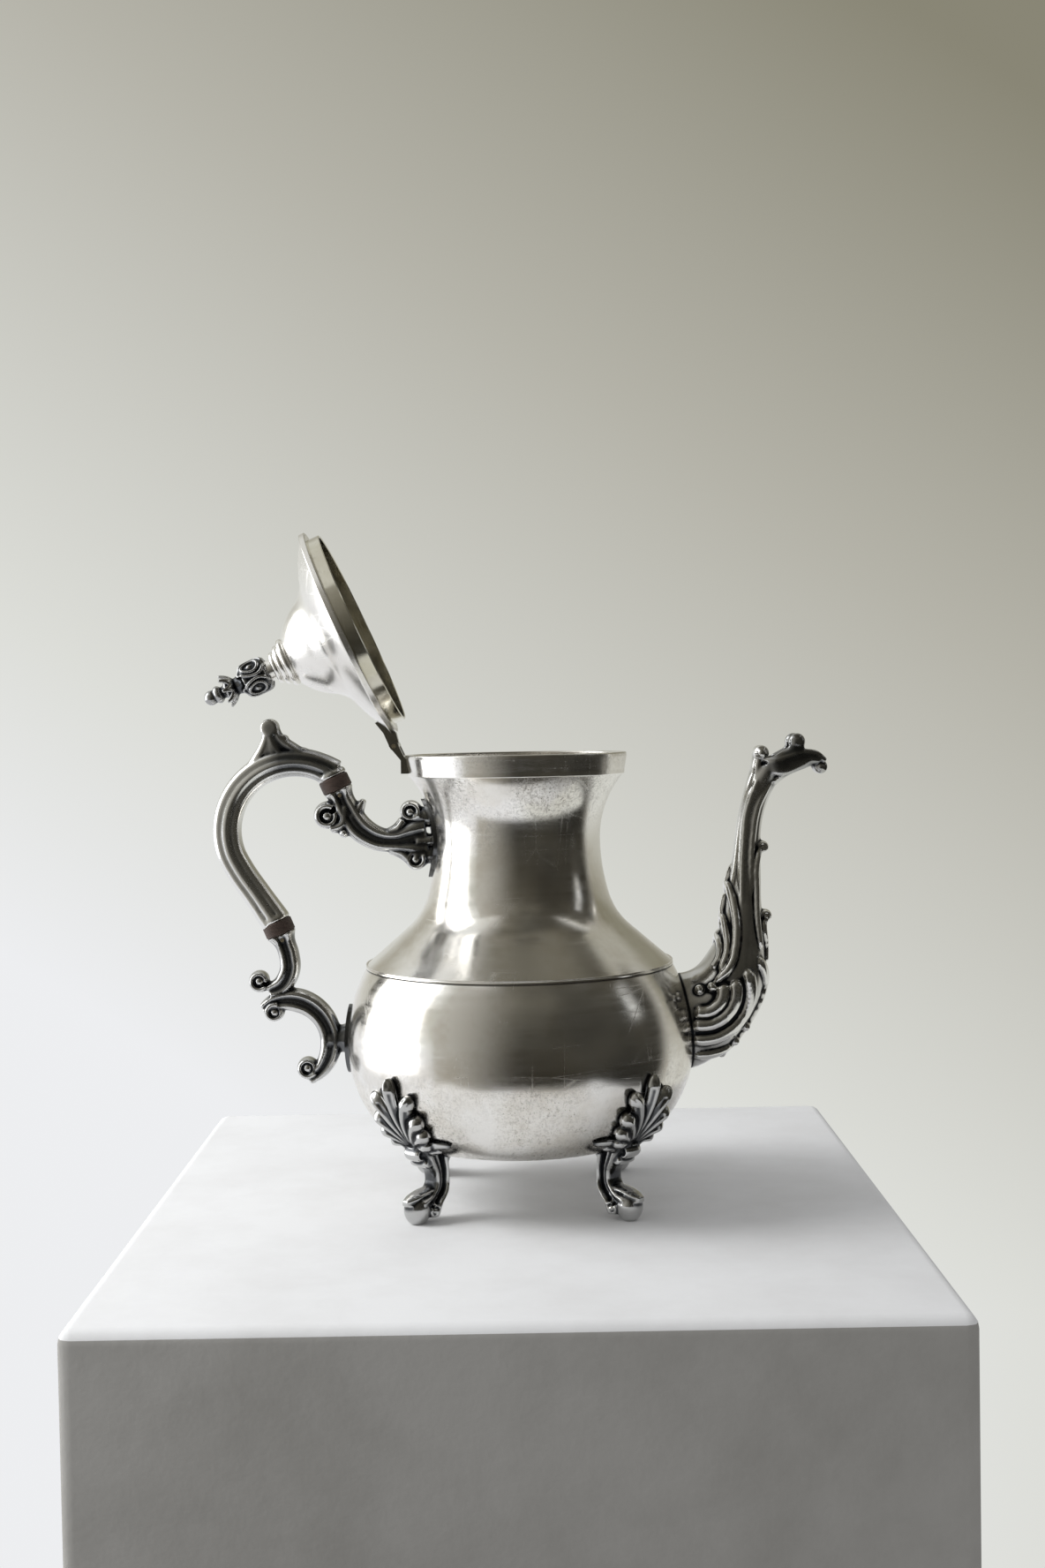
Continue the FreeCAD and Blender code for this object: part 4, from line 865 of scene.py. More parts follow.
@dataclass(frozen=True)
class PolishedSilver:
    """Sheet silver, rubbed bright, with a veil of tarnish, specks and fine scratches."""

    name: str
    clean: Colour = (0.90, 0.885, 0.855)
    veiled: Colour = (0.66, 0.61, 0.53)
    speck: Colour = (0.10, 0.08, 0.065)
    # Near-black colour of the band just under the neck's lip: partly tarnish in the seam, partly painted
    # shade.
    seam_tarnish_and_shade: Colour = (0.03, 0.026, 0.022)
    gloss: Place = (0.12, 0.24)
    specked: Place = (90.0, 20.0)
    crust: float = 0.6
    joint: Place | None = None
    veil: Pattern = (26, 6, 0.62)
    patch: Pattern = (30, 5, 0.65)
    dots: tuple[tuple[Pattern, Place], ...] = (
        ((640, 4, 0.65), (0.50, 0.68)), ((1500, 2, 0.6), (0.54, 0.66)))
    hairs: tuple[tuple[Pattern, Pattern, float], ...] = (
        ((13, 13, 120), (25, 40, 10), 0.020), ((110, 14, 18), (70, 15, 50), 0.018))
    rubbed: Pattern = (48, 2, 0.55)
    hazed: tuple[Pattern, Pattern] = ((1, 4, 0.7), (30, 30, 420))
    brushed: tuple[Pattern, Pattern] = ((1, 3, 0.6), (500, 500, 3800))
    dullness: Place = (0.35, 0.12)
    heights: Place = (0.5, 3.0)
    depth: Place = (0.07, 0.06)

    def specks(self, shader: Shader) -> Socket:
        """Dark dots in patches, where the sheet is specked at all.

        Args:
            shader: shader to draw in.

        Returns:
            1 on a dot and 0 beside it.
        """
        dots = shader.math(
            "MAXIMUM", *(shader.fit(shader.noise(pattern), ends) for pattern, ends in self.dots))
        patches = shader.fit(shader.noise(self.patch), (0.38, 0.60))
        zone = shader.fit(shader.height(*self.specked), (0, 1), (0.03, 1))
        return shader.math("MULTIPLY", dots, patches, zone, self.crust)

    def scratches(self, shader: Shader) -> Socket:
        """Two sets of hairlines, in patches.

        Args:
            shader: shader to draw in.

        Returns:
            1 on a line and 0 beside it.
        """
        lines = shader.math("MAXIMUM", *(shader.hairlines(*hair) for hair in self.hairs))
        return shader.math("MULTIPLY", lines, shader.fit(shader.noise(self.rubbed), (0.48, 0.66)))

    def material(self) -> Material:
        """The finish's material.

        Returns:
            The material, ready to be worn.
        """
        shader = Shader(self.name)
        specks, lines = self.specks(shader), self.scratches(shader)
        veil = shader.fit(shader.noise(self.veil), (0.44, 0.74))
        colour = shader.tint(specks, shader.tint(veil, self.clean, self.veiled), self.speck)
        # Below the seam the bowl turns near black: partly tarnish, partly painted shade under the neck's lip.
        if self.joint is not None:
            colour = shader.tint(shader.height(*self.joint), colour, self.seam_tarnish_and_shade)
        pattern, stretch = self.hazed
        haze = shader.fit(shader.noise(pattern, shader.stretched(stretch)), (0.3, 0.75), self.gloss)
        dull, scratched = self.dullness
        worn = shader.math(
            "ADD", haze, shader.math("MULTIPLY", specks, dull), shader.math("MULTIPLY", lines, scratched))
        shader.set(Metallic=1.0, Base_Color=colour, Roughness=worn)
        pattern, stretch = self.brushed
        brushed = shader.noise(pattern, shader.stretched(stretch))
        high, low = self.heights
        worked = shader.math(
            "SUBTRACT", shader.math("MULTIPLY", brushed, high), lines, shader.math("MULTIPLY", specks, low))
        shader.relief(worked, *self.depth)
        return shader.material


@dataclass(frozen=True)
class CastSilver:
    """Cast and chased silver, bright on its ridges, dull between them and black in its hollows."""

    name: str
    plain: Colour = (0.13, 0.134, 0.14)
    bright: Colour = (0.58, 0.58, 0.575)
    black: Colour = (0.010, 0.011, 0.013)
    aged: Colour = (0.12, 0.124, 0.13)
    gloss: Place = (0.15, 0.40)
    ageing: tuple[Place, Place] | None = None
    cloud: Pattern = (220, 2, 0.5)
    grain: Pattern = (900, 3, 0.6)
    hollow: Place = (-0.16, -0.70)
    ridge: Place = (0.08, 0.7)
    dullness: float = 0.08
    depth: Place = (0.04, 0.08)

    def material(self) -> Material:
        """The finish's material.

        Returns:
            The material, ready to be worn.
        """
        shader = Shader(self.name)
        mark = shader.add("ShaderNodeAttribute", attribute_name="relief").outputs["Fac"]
        cloud = shader.fit(shader.noise(self.cloud), (0.3, 0.7), (-0.08, 0.08))
        relief = shader.math("ADD", mark, cloud)
        hollow, ridge = shader.fit(relief, self.hollow), shader.fit(relief, self.ridge)
        base: Colour | Socket = self.plain
        if self.ageing is not None:
            axes = shader.axes(shader.place)
            across, up = ([MM * end for end in ends] for ends in self.ageing)
            share = shader.math("MULTIPLY", shader.fit(axes[0], across), shader.fit(axes[2], up))
            base = shader.tint(share, self.plain, self.aged)
            ridge = shader.math("MULTIPLY", ridge, shader.fit(share, (0, 1), (1, 0.35)))
        colour = shader.tint(hollow, shader.tint(ridge, base, self.bright), self.black)
        grain = shader.noise(self.grain)
        dull = shader.math("MULTIPLY", shader.fit(grain, (0.4, 0.8)), self.dullness)
        worn = shader.math("ADD", shader.fit(hollow, (0, 1), self.gloss), dull)
        shader.set(Metallic=1.0, Base_Color=colour, Roughness=worn)
        shader.relief(grain, *self.depth)
        return shader.material


@dataclass(frozen=True)
class BrownInsulator:
    """Matte brown insulating ring with a faint turned grain."""

    name: str
    dark: Colour = (0.034, 0.022, 0.017)
    light: Colour = (0.085, 0.055, 0.043)
    cloud: Pattern = (160, 5, 0.65)
    grain: Pattern = (1, 3, 0.6)
    depth: Place = (0.25, 0.1)

    def material(self) -> Material:
        """The finish's material.

        Returns:
            The material, ready to be worn.
        """
        shader = Shader(self.name)
        cloud = shader.noise(self.cloud)
        grain = shader.noise(self.grain, shader.stretched((260, 260, 1900), (0, 24, 0)))
        share = shader.math(
            "ADD", shader.math("MULTIPLY", cloud, 0.6), shader.math("MULTIPLY", grain, 0.4))
        colour = shader.tint(shader.fit(share, (0.35, 0.65)), self.dark, self.light)
        worn = shader.fit(grain, (0.3, 0.7), (0.42, 0.62))
        shader.set(Metallic=0.0, Specular_IOR_Level=0.4, Base_Color=colour, Roughness=worn)
        shader.relief(grain, *self.depth)
        return shader.material


@dataclass(frozen=True)
class PlainFixing:
    """Turned metal of pins, stud, washer and nut."""

    name: str
    bright: Colour = (0.62, 0.55, 0.40)
    stained: Colour = (0.20, 0.16, 0.11)
    cloud: Pattern = (420, 4, 0.6)

    def material(self) -> Material:
        """The finish's material.

        Returns:
            The material, ready to be worn.
        """
        shader = Shader(self.name)
        cloud = shader.noise(self.cloud)
        colour = shader.tint(shader.fit(cloud, (0.45, 0.7)), self.bright, self.stained)
        shader.set(Metallic=1.0, Base_Color=colour, Roughness=shader.fit(cloud, (0.3, 0.7), (0.2, 0.42)))
        return shader.material


@dataclass(frozen=True)
class PalePlaster:
    """Plain pale floor."""

    name: str
    pale: Colour = (0.80, 0.805, 0.81)
    grey: Colour = (0.72, 0.72, 0.72)
    lumps: float = 0.25
    cloud: Pattern = (14, 6, 0.65)

    def material(self) -> Material:
        """The finish's material.

        Returns:
            The material, ready to be worn.
        """
        shader = Shader(self.name)
        cloud = shader.noise(self.cloud)
        colour = shader.tint(shader.fit(cloud, (0.4, 0.75)), self.pale, self.grey)
        shader.set(Specular_IOR_Level=0.2, Roughness=0.9, Base_Color=colour)
        shader.relief(cloud, self.lumps, 2.0)
        return shader.material


def made(finish: PolishedSilver | CastSilver | BrownInsulator | PlainFixing) -> Material:
    """Field whose material a finish makes."""
    return field(default_factory=finish.material)


@dataclass
class Finishes:
    """Every material of the teapot."""

    # The bowl's top band, just under the neck's lip, turns near black: partly tarnish, partly painted shade.
    bowl: Material = made(PolishedSilver("bowl_silver", specked=(70.0, 36.0), joint=(94.7, 95.2)))
    neck: Material = made(PolishedSilver("neck_silver", specked=(138.0, 166.0)))
    band: Material = made(PolishedSilver("band_silver", specked=(170.0, 182.0), crust=0.4))
    lid: Material = made(PolishedSilver(
        "lid_silver", veiled=(0.78, 0.755, 0.72), gloss=(0.22, 0.26), specked=(272.0, 190.0), crust=0.06))
    lining: Material = made(PolishedSilver(
        "lid_lining", clean=(0.76, 0.735, 0.64), veiled=(0.56, 0.525, 0.42), gloss=(0.10, 0.2),
        specked=(272.0, 190.0), crust=0.06))
    bracket: Material = made(CastSilver("bracket_silver"))
    grip: Material = made(CastSilver(
        "grip_silver", plain=(0.74, 0.74, 0.73), bright=(0.86, 0.855, 0.84),
        ageing=((-104.0, -96.0), (163.0, 178.0))))
    spout: Material = made(CastSilver(
        "spout_silver", plain=(0.54, 0.535, 0.52), bright=(0.80, 0.795, 0.78),
        ageing=((96.0, 104.0), (162.0, 174.0))))
    foot: Material = made(CastSilver(
        "foot_silver", plain=(0.10, 0.103, 0.108), bright=(0.56, 0.56, 0.555)))
    finial: Material = made(CastSilver(
        "finial_silver", plain=(0.09, 0.094, 0.10), bright=(0.40, 0.40, 0.40)))
    hinge: Material = made(CastSilver("hinge_silver", plain=(0.34, 0.325, 0.28)))
    insulator: Material = made(BrownInsulator("brown_insulator"))
    fixing: Material = made(PlainFixing("turned_fixing"))


# Vessel


@dataclass
class Vessel:
    """Bowl, neck and mouth band."""

    wall: float = 1.2
    bottom: float = 24.0
    belly: Place = (70.6, 64.0)
    lower_curve: float = 48.0
    base_curve: float = 27.0
    seam: Place = (62.0, 95.6)
    overhang: float = 0.6
    lap: float = 0.5
    bead: Place = (0.15, 0.5)
    waist: Place = (33.7, 146.0)
    throat_curve: float = 75.0
    throat_drop: float = 22.0
    shoulder_curve: float = 29.0
    top: Place = (43.4, 172.5)
    rim: float = 181.4
    band: Place = (45.0, 44.0)
    band_step: Place = (0.1, 2.0)
    band_lip: float = 1.6
    mouth: float = 42.0
    rounding: float = 0.6
    strainer: tuple[float, float, float] = (1.5, 5.2, 71.0)
    strainer_rings: int = 3
    drills: Place = (55.0, 80.0)

    def bowl_outline(self) -> Outline:
        """Outside of the bowl from its middle underneath to the seam.

        Returns:
            The outline, from the axis outwards.
        """
        centre = self.belly[0] - self.lower_curve
        gap = self.lower_curve - self.base_curve
        rise = self.bottom + self.base_curve - self.belly[1]
        reach = math.sqrt(gap**2 - rise**2)
        flat = centre + reach
        share = self.lower_curve / gap
        outline = Outline((0.0, self.bottom)).line((flat, self.bottom))
        outline.flow((centre + reach * share, self.belly[1] + rise * share), 20)
        return outline.flow(self.belly, 30).flow(self.seam, 24)

    def neck_outline(self) -> Outline:
        """Outside of the neck from the seam to the band.

        Returns:
            The outline, upwards.
        """
        throat = (self.waist[0] + self.throat_curve, self.waist[1])
        lean = math.asin(self.throat_drop / self.throat_curve)
        low = (throat[0] - self.throat_curve * math.cos(lean), throat[1] - self.throat_drop)
        share = self.shoulder_curve / self.throat_curve
        hub = (low[0] + share * (throat[0] - low[0]), low[1] + share * (throat[1] - low[1]))
        edge = (self.seam[0] + self.overhang, self.seam[1])
        away = math.hypot(edge[0] - hub[0], edge[1] - hub[1])
        angle = math.atan2(edge[1] - hub[1], edge[0] - hub[0]) - math.acos(self.shoulder_curve / away)
        curve = self.shoulder_curve
        bend = (hub[0] + curve * math.cos(angle), hub[1] + curve * math.sin(angle))
        start = (edge[0] - self.lap, edge[1])
        outline = Outline(start).line(edge, (edge[0] - self.bead[0], edge[1] + self.bead[1]), bend)
        return outline.flow(low, 20).flow(self.waist, 20).flow(self.top, 30)

    def bowl_wall(self) -> Wall:
        """Radius of the bowl above its flat bottom, and none below it."""
        points = self.bowl_outline().points()[6:]
        return lambda heights: np.interp(heights, points[:, 1], points[:, 0], left=0.0)

    def neck_wall(self) -> Wall:
        """Radius of the neck."""
        points = self.neck_outline().points()[6:]
        return lambda heights: np.interp(heights, points[:, 1], points[:, 0])

    def drill(self, bowl: Item) -> None:
        """Pierce the bowl's wall behind the spout with rings of strainer holes.

        Args:
            bowl: the bowl to pierce.
        """
        radius, pitch, height = self.strainer
        angle = np.linspace(0, 2 * math.pi, 14, endpoint=False)
        forms = []
        for ring in range(self.strainer_rings):
            for step in range(max(1, 6 * ring)):
                turn = math.radians(60 / max(ring, 1) * step)
                reach = pitch * ring
                middle = np.array((0, reach * math.cos(turn), height + reach * math.sin(turn)))
                circle = middle + radius * np.stack((0 * angle, np.cos(angle), np.sin(angle)), axis=1)
                forms.append(skin(np.stack([circle + (end, 0, 0) for end in self.drills])))
        drills = new_object("drills", finished_mesh("drills", joined(forms)))
        cut = bowl.modifiers.new("strainer", "BOOLEAN")
        cut.object = drills
        cut.solver = "EXACT"
        mesh = settle(bowl)
        bpy.data.objects.remove(drills)
        mesh.shade_smooth()
        mesh.set_sharp_from_angle(angle=CREASE)

    def band_outline(self) -> Outline:
        """Closed outline of the band round the mouth.

        Returns:
            The outline, back to its start.
        """
        low, top, mouth, edge = self.top[1], self.rim, self.mouth, self.rounding
        wide, narrow = self.band
        out, up = self.band_step
        outline = Outline((mouth, low)).line((narrow - edge, low)).flow((narrow, low + edge), 6)
        outline.line((narrow + out, low + up), (wide, top - self.band_lip), (wide, top - edge))
        outline.flow((wide - edge, top), 6).line((mouth + edge, top))
        return outline.flow((mouth, top - edge), 6).line((mouth, low + 0.2))

    def build(self, finishes: Finishes) -> None:
        """Build and dress the vessel's three pieces.

        Args:
            finishes: the finishes to dress in.
        """
        bowl = turned("silver_bowl", self.bowl_outline().shell(self.wall))
        self.drill(bowl)
        dress(bowl, finishes.bowl, Body.POT, "bowl")
        neck = turned("silver_neck", self.neck_outline().shell(self.wall))
        dress(neck, finishes.neck, Body.POT, "neck")
        band = turned("silver_mouth_band", self.band_outline().points())
        dress(band, finishes.band, Body.POT, "mouth_band")


# Lid


@dataclass
class Lid:
    """Bell-shaped lid with its bezel, collar and leafy finial, modelled closed and swung open."""

    hinge: Place = (-49.2, 185.2)
    opened: float = 114.0
    base: float = 181.7
    radius: float = 44.4
    edge: float = 2.4
    step: float = 1.8
    rounding: Place = (0.3, 0.4)
    inner_edge: float = 0.9
    inner_curve: float = 22.0
    inner_set: Place = (0.6, 0.4)
    brim_curve: float = 60.0
    bend: Place = (27.5, 10.0)
    bell: Place = (19.6, 16.7)
    crown: Place = (9.4, 27.2)
    wall: float = 1.0
    stud: float = 2.05
    bezel: Place = (41.0, 5.0)
    bezel_gap: Place = (0.1, 0.05)
    rings: tuple[float, float, int] = (2.5, 1.7, 3)
    collar: Place = (4.3, 9.8)
    bud: Place = (7.4, 15.0)
    calyx: Place = (6.5, 3.1)
    tip: float = 14.0
    girths: tuple[Place, ...] = ((0.12, 0.7), (0.3, 0.9), (0.5, 0.9), (0.7, 0.72))
    neckings: tuple[Place, ...] = ((-0.05, 1.0), (0.15, 1.1), (0.26, 1.25), (0.36, 0.8), (0.8, 0.6))
    petal_rings: tuple[tuple[float, float, float], ...] = ((0.66, 0.40, 0.62), (0.40, 0.24, 0.55))
    petals: int = 4
    petal_middle: float = 0.42
    leaves: int = 8
    grain: float = 0.26
    relax: float = 0.4

    def swing(self) -> Matrix:
        """Turn of the lid from closed to open."""
        centre = Matrix.Translation((self.hinge[0] * MM, 0, self.hinge[1] * MM))
        return centre @ Matrix.Rotation(-math.radians(self.opened), 4, "Y") @ centre.inverted()

    def fit(self, item: Item, material: Material, slot: Slot, node: str) -> None:
        """Swing a piece open with the lid and dress it."""
        item.data.transform(self.swing())
        dress(item, material, Body.LID, node)

    def dome_profile(self) -> np.ndarray:
        """Closed profile of the lid's shell.

        Returns:
            Radius and height of each point, outside and inside.
        """
        low, rim, wall = self.base, self.radius, self.wall
        top, edge = low + self.crown[1], low + self.edge
        under, over = self.rounding
        outline = Outline((rim - wall, low)).line((rim - under, low)).flow((rim, low + under), 4)
        outline.line((rim, edge - over)).flow((rim - over, edge), 4).line((rim - self.step, edge))
        outline.arc((self.bend[0], low + self.bend[1]), self.brim_curve, -1)
        outline.flow((self.bell[0], low + self.bell[1]), 20).flow((self.crown[0], top), 20)
        outline.line((self.stud, top))
        drop, draw = self.inner_set
        inside = Outline((self.stud, top - wall)).line((self.crown[0] - drop, top - wall))
        inside.line((self.bell[0] - wall, low + self.bell[1] - drop))
        inside.arc((self.bend[0] - draw, low + self.bend[1] - wall), self.inner_curve, -1, 14)
        inside.line((rim - self.step - wall, edge - wall), (rim - wall, low + self.inner_edge))
        return np.vstack((outline.points(), inside.points()))

    def bezel_outline(self) -> Outline:
        """Closed outline of the ring that drops into the mouth.

        Returns:
            The outline, back to its start.
        """
        outer, depth = self.bezel
        inner = outer - self.wall
        bottom, top = self.base - depth, self.base + self.wall
        soft = self.rounding[0]
        aside, under = self.bezel_gap
        flange = self.radius - self.wall - aside
        ring = Outline((inner, bottom + soft)).line((inner + soft, bottom), (outer - soft, bottom))
        ring.line((outer, bottom + soft), (outer, self.base - under), (flange, self.base - under))
        return ring.line((flange, top), (inner, top), (inner, bottom + soft + 0.1))

    def build(self, finishes: Finishes) -> None:
        """Build and dress the lid's pieces.

        Args:
            finishes: the finishes to dress in.
        """
        self.fit(turned("silver_lid", self.dome_profile()), finishes.lid, Slot.POLISHED, "lid_dome")
        bezel = turned("silver_lid_bezel", self.bezel_outline().points())
        self.fit(bezel, finishes.lining, Slot.POLISHED, "lid_bezel")
        self.build_collar(finishes)
        self.build_finial(finishes)
        dress_node("lid_hinge_leaf", finishes.hinge)
        for node in ("finial_stud", "finial_washer", "finial_nut"):
            dress_node(node, finishes.fixing)

    def build_collar(self, finishes: Finishes) -> None:
        """Build the stepped rings under the finial.

        Args:
            finishes: the finishes to dress in.
        """
        height, step, count = self.rings
        top = self.base + self.crown[1]
        outline = Outline((self.stud, top))
        for rank in range(count):
            reach = self.crown[0] - rank * step
            outline.line((reach, top + rank * height))
            outline.arc((reach, top + (rank + 1) * height), 0.6 * height, -1, 12)
        waist, rise = self.collar
        outline.line((waist, top + count * height), (waist, top + rise), (self.stud, top + rise))
        collar = turned("silver_finial_collar", outline.points(), 96)
        self.fit(collar, finishes.lid, Slot.POLISHED, "finial_collar")

    def build_finial(self, finishes: Finishes) -> None:
        """Carve the finial: a bud of four eyed petals, a calyx of pointed leaves and a knob.

        Args:
            finishes: the finishes to dress in.
        """
        base = self.base + self.crown[1] + self.collar[1]
        wide, tall = self.bud
        waist = base + tall
        calyx, stem = self.calyx
        heights = np.linspace(0, 1.05, 16)
        swell = [(height, share * wide) for height, share in self.girths]
        girths = through(((0, self.collar[0]), *swell, (0.9, 1.2 * stem), (1.05, stem)), 160)
        girths = np.interp(heights, girths[:, 0], girths[:, 1])
        necks = stem * np.array([share for _, share in self.neckings])
        neck = np.array([(0, 0, waist + self.tip * height) for height, _ in self.neckings])
        forms = [
            rod(np.outer(base + tall * heights, UP), girths, girths, SIDE, 32),
            rod(neck, necks, necks, SIDE, 32),
            ball((0, 0, waist + 0.55 * self.tip), (1.2 * stem, 1.2 * stem, 0.75 * stem)),
            ball((0, 0, waist + self.tip - stem), (stem, stem, 0.95 * stem)),
        ]
        angle = np.linspace(0, 2 * math.pi, 40)
        for petal in range(self.petals):
            facing = math.radians(360 / self.petals * petal + 45)
            out = np.array((math.cos(facing), math.sin(facing), 0))
            for broad, high, ridge in self.petal_rings:
                turn = facing + broad * np.cos(angle) * (1 - 0.25 * np.sin(angle))
                height = self.petal_middle + high * np.sin(angle)
                reach = np.interp(height, heights, girths) + 0.35
                ring = np.stack((reach * np.cos(turn), reach * np.sin(turn), base + tall * height), axis=1)
                forms.append(rod(ring, ridge, 0.8 * ridge, unit(ring * (1, 1, 0)), 10))
            forms.append(ball(out * (0.78 * wide) + (0, 0, base + self.petal_middle * tall), 0.2 * wide))
        share = np.linspace(0, 1, 12)
        reach = calyx * (0.30 + 0.72 * share)
        rise = np.outer(waist + self.tip * (0.05 + 0.1 * share + 0.2 * share**3), UP)
        for leaf in range(self.leaves):
            facing = math.radians(360 / self.leaves * leaf)
            path = np.outer(reach, (math.cos(facing), math.sin(facing), 0)) + rise
            forms.append(rod(path, stem * (0.95 - 0.75 * share), stem * (0.5 - 0.3 * share), UP, 12))
        finial = FOUNDER.cast("cast_finial", forms, self.grain, relax=self.relax)
        self.fit(finial, finishes.finial, Slot.CAST, "finial")


# Handle


@dataclass
class Handle:
    """Grip, insulators and the two scrolled brackets.

    The thumb rest's runs and rolls are counted from its tip, and a bracket's head goes by
    its distance along the insulator's axis.
    """

    bow: tuple[float, float, float] = (-90.5, 151.5, 27.8)
    bow_angles: tuple[float, ...] = (54, 66, 80, 100, 120, 140, 160, 180, 200, 214)
    grip: Place = (5.75, 5.5)
    upper_end: Place = (-74.9, 172.8)
    lower_end: Place = (-99.2, 114.4)
    upper_tilt: float = 66.0
    lower_tilt: float = 68.0
    ring: Place = (6.2, 5.6)
    ferrule: tuple[Place, ...] = ((0, 0.94), (0.4, 1.0), (1.3, 1.0), (2.2, 0.96), (2.6, 0.86))
    thumb: Place = (-99.9, 193.4)
    thumb_runs: tuple[Run, ...] = (
        Run(((2.4, -17.4, 9.6, 3.9), (1.4, -11.0, 6.6, 3.9), (0.7, -5.0, 4.3, 3.8), (0.0, -0.6, 3.3, 3.6)),
            Section.FLAT, 40),
        Run(((12.9, -13.1, 4.2, 4.4), (5.9, -8.9, 4.6, 4.4), (2.6, -5.6, 3.7, 4.2), (0.6, -0.4, 3.2, 3.9)),
            Section.PAIRED, 40),
        Run(((-10.5, -18.6, 2.0, 3.6), (-4.6, -11.5, 2.6, 3.8), (-2.0, -5.5, 2.0, 3.8),
             (-1.2, -2.0, 1.6, 3.6)), rings=30),
        Run(((4.6, -6.0, 2.0, 3.2), (8.0, -8.6, 1.9, 3.4), (13.4, -9.7, 1.6, 3.4), (19.0, -12.6, 1.0, 2.4)),
            rings=30),
    )
    thumb_rolls: tuple[tuple[float, float, float, float], ...] = (
        (0.0, 0.0, 3.8, 4.0), (5.6, -4.6, 1.9, 3.4), (13.8, -9.4, 1.3, 3.0))
    upper_head: tuple[tuple[float, float, float], ...] = (
        (0.0, 6.2, 6.2), (3.0, 5.0, 5.0), (9.0, 5.2, 4.75))
    upper_main: tuple[tuple[float, float, float, float], ...] = (
        (-63.6, 151.6, 5.4, 4.75), (-57.0, 147.6, 5.0, 4.75), (-49.0, 146.6, 5.0, 4.75),
        (-43.0, 147.4, 7.6, 4.75), (-36.8, 148.2, 9.8, 4.275))
    upper_runs: tuple[Run, ...] = (
        Run(((-53.0, 150.0, 1.6, 3.6), (-48.4, 151.6, 2.6, 4.2), (-46.2, 155.0, 2.2, 4.4))),
        Run(((-52.0, 142.6, 1.6, 3.6), (-47.0, 141.6, 2.6, 4.2), (-44.0, 138.8, 2.2, 4.4))),
        Run(((-67.4, 156.0, 3.0, 4.0), (-64.4, 160.0, 2.4, 4.2), (-62.2, 163.6, 1.2, 4.0))),
        Run(((-42.0, 156.6, 3.0, 4.4), (-38.4, 156.4, 4.0, 4.2), (-34.0, 155.8, 4.4, 3.8))),
        Run(((-42.0, 140.6, 3.0, 4.4), (-38.6, 140.8, 3.8, 4.2), (-34.0, 141.2, 4.2, 3.8))),
        Run(((-41.0, 146.4, 3.6, 4.4), (-38.0, 146.4, 3.2, 4.2), (-33.6, 146.4, 2.9, 3.8))),
        Run(((-70.0, 161.0, 2.6, 4.4), (-71.4, 153.6, 2.8, 4.6), (-76.0, 151.9, 2.0, 4.6)), rings=24),
    )
    upper_curls: tuple[Curl, ...] = (
        ((-77.2, 157.2), 6.2, 5.3, 55, 1),
        ((-43.4, 158.4), 5.1, 4.8, -30, 1),
        ((-41.4, 139.0), 5.0, 4.9, 30, -1),
    )
    upper_bead: Place = (-70.6, 150.2)
    bead: tuple[float, float, float] = (2.2, 4.6, 2.2)
    lower_head: tuple[tuple[float, float, float], ...] = ((0.0, 6.2, 6.2), (3.0, 4.6, 5.0))
    lower_main: tuple[tuple[float, float, float, float], ...] = (
        (-94.2, 101.0, 4.2, 4.75), (-93.8, 94.8, 4.2, 4.75), (-97.0, 88.6, 4.0, 4.75),
        (-102.4, 86.0, 3.0, 4.75))
    scroll: tuple[float, float, float, float] = (-95.0, 65.0, 17.4, 4.75)
    scroll_widths: tuple[Place, ...] = (
        (126, 2.2), (106, 3.6), (84, 4.8), (60, 4.9), (34, 4.7), (8, 4.5), (-18, 4.2), (-42, 3.4),
        (-62, 2.6))
    lower_root: Run = Run((
        (-78.6, 66.0, 5.4, 4.4), (-72.5, 66.0, 5.8, 4.6), (-69.0, 66.0, 7.2, 5.4), (-63.0, 66.0, 8.0, 6.0)),
        rings=30)
    lower_curls: tuple[Curl, ...] = (
        ((-106.2, 90.3), 5.0, 5.2, -40, -1),
        ((-100.2, 77.6), 4.8, 5.2, 70, 1),
        ((-87.2, 54.4), 5.1, 5.2, -35, -1),
    )
    grain: float = 0.32
    grip_relax: float = 0.85

    def head(self, end: Place, tilt: float, rows: Stations) -> list[tuple[float, ...]]:
        """Stations on an insulator's axis, from the bracket's end of the ring on.

        Args:
            end: the grip's end of the insulator.
            tilt: the axis's slope, in degrees.
            rows: rows of (distance, half width, half depth).

        Returns:
            Rows of (x, z, half width, half depth).
        """
        across, down = math.cos(math.radians(tilt)), math.sin(math.radians(tilt))
        rows = [(self.ring[1] + run, *sizes) for run, *sizes in rows]
        return [(end[0] + run * across, end[1] - run * down, *sizes) for run, *sizes in rows]

    def build(self, finishes: Finishes, vessel: Vessel) -> None:
        """Build and dress the handle's pieces.

        Args:
            finishes: the finishes to dress in.
            vessel: the vessel whose wall it is seated on.
        """
        self.build_grip(finishes)
        self.build_upper_bracket(finishes, vessel)
        self.build_lower_bracket(finishes, vessel)
        for which in ("upper", "lower"):
            dress_node(f"{which}_insulator", finishes.insulator)
            dress_node(f"{which}_insulator_pins", finishes.fixing)
            dress_node(f"{which}_handle_patch", finishes.bracket)
        dress_node("body_hinge_leaf", finishes.hinge)
        dress_node("hinge_pin", finishes.fixing)

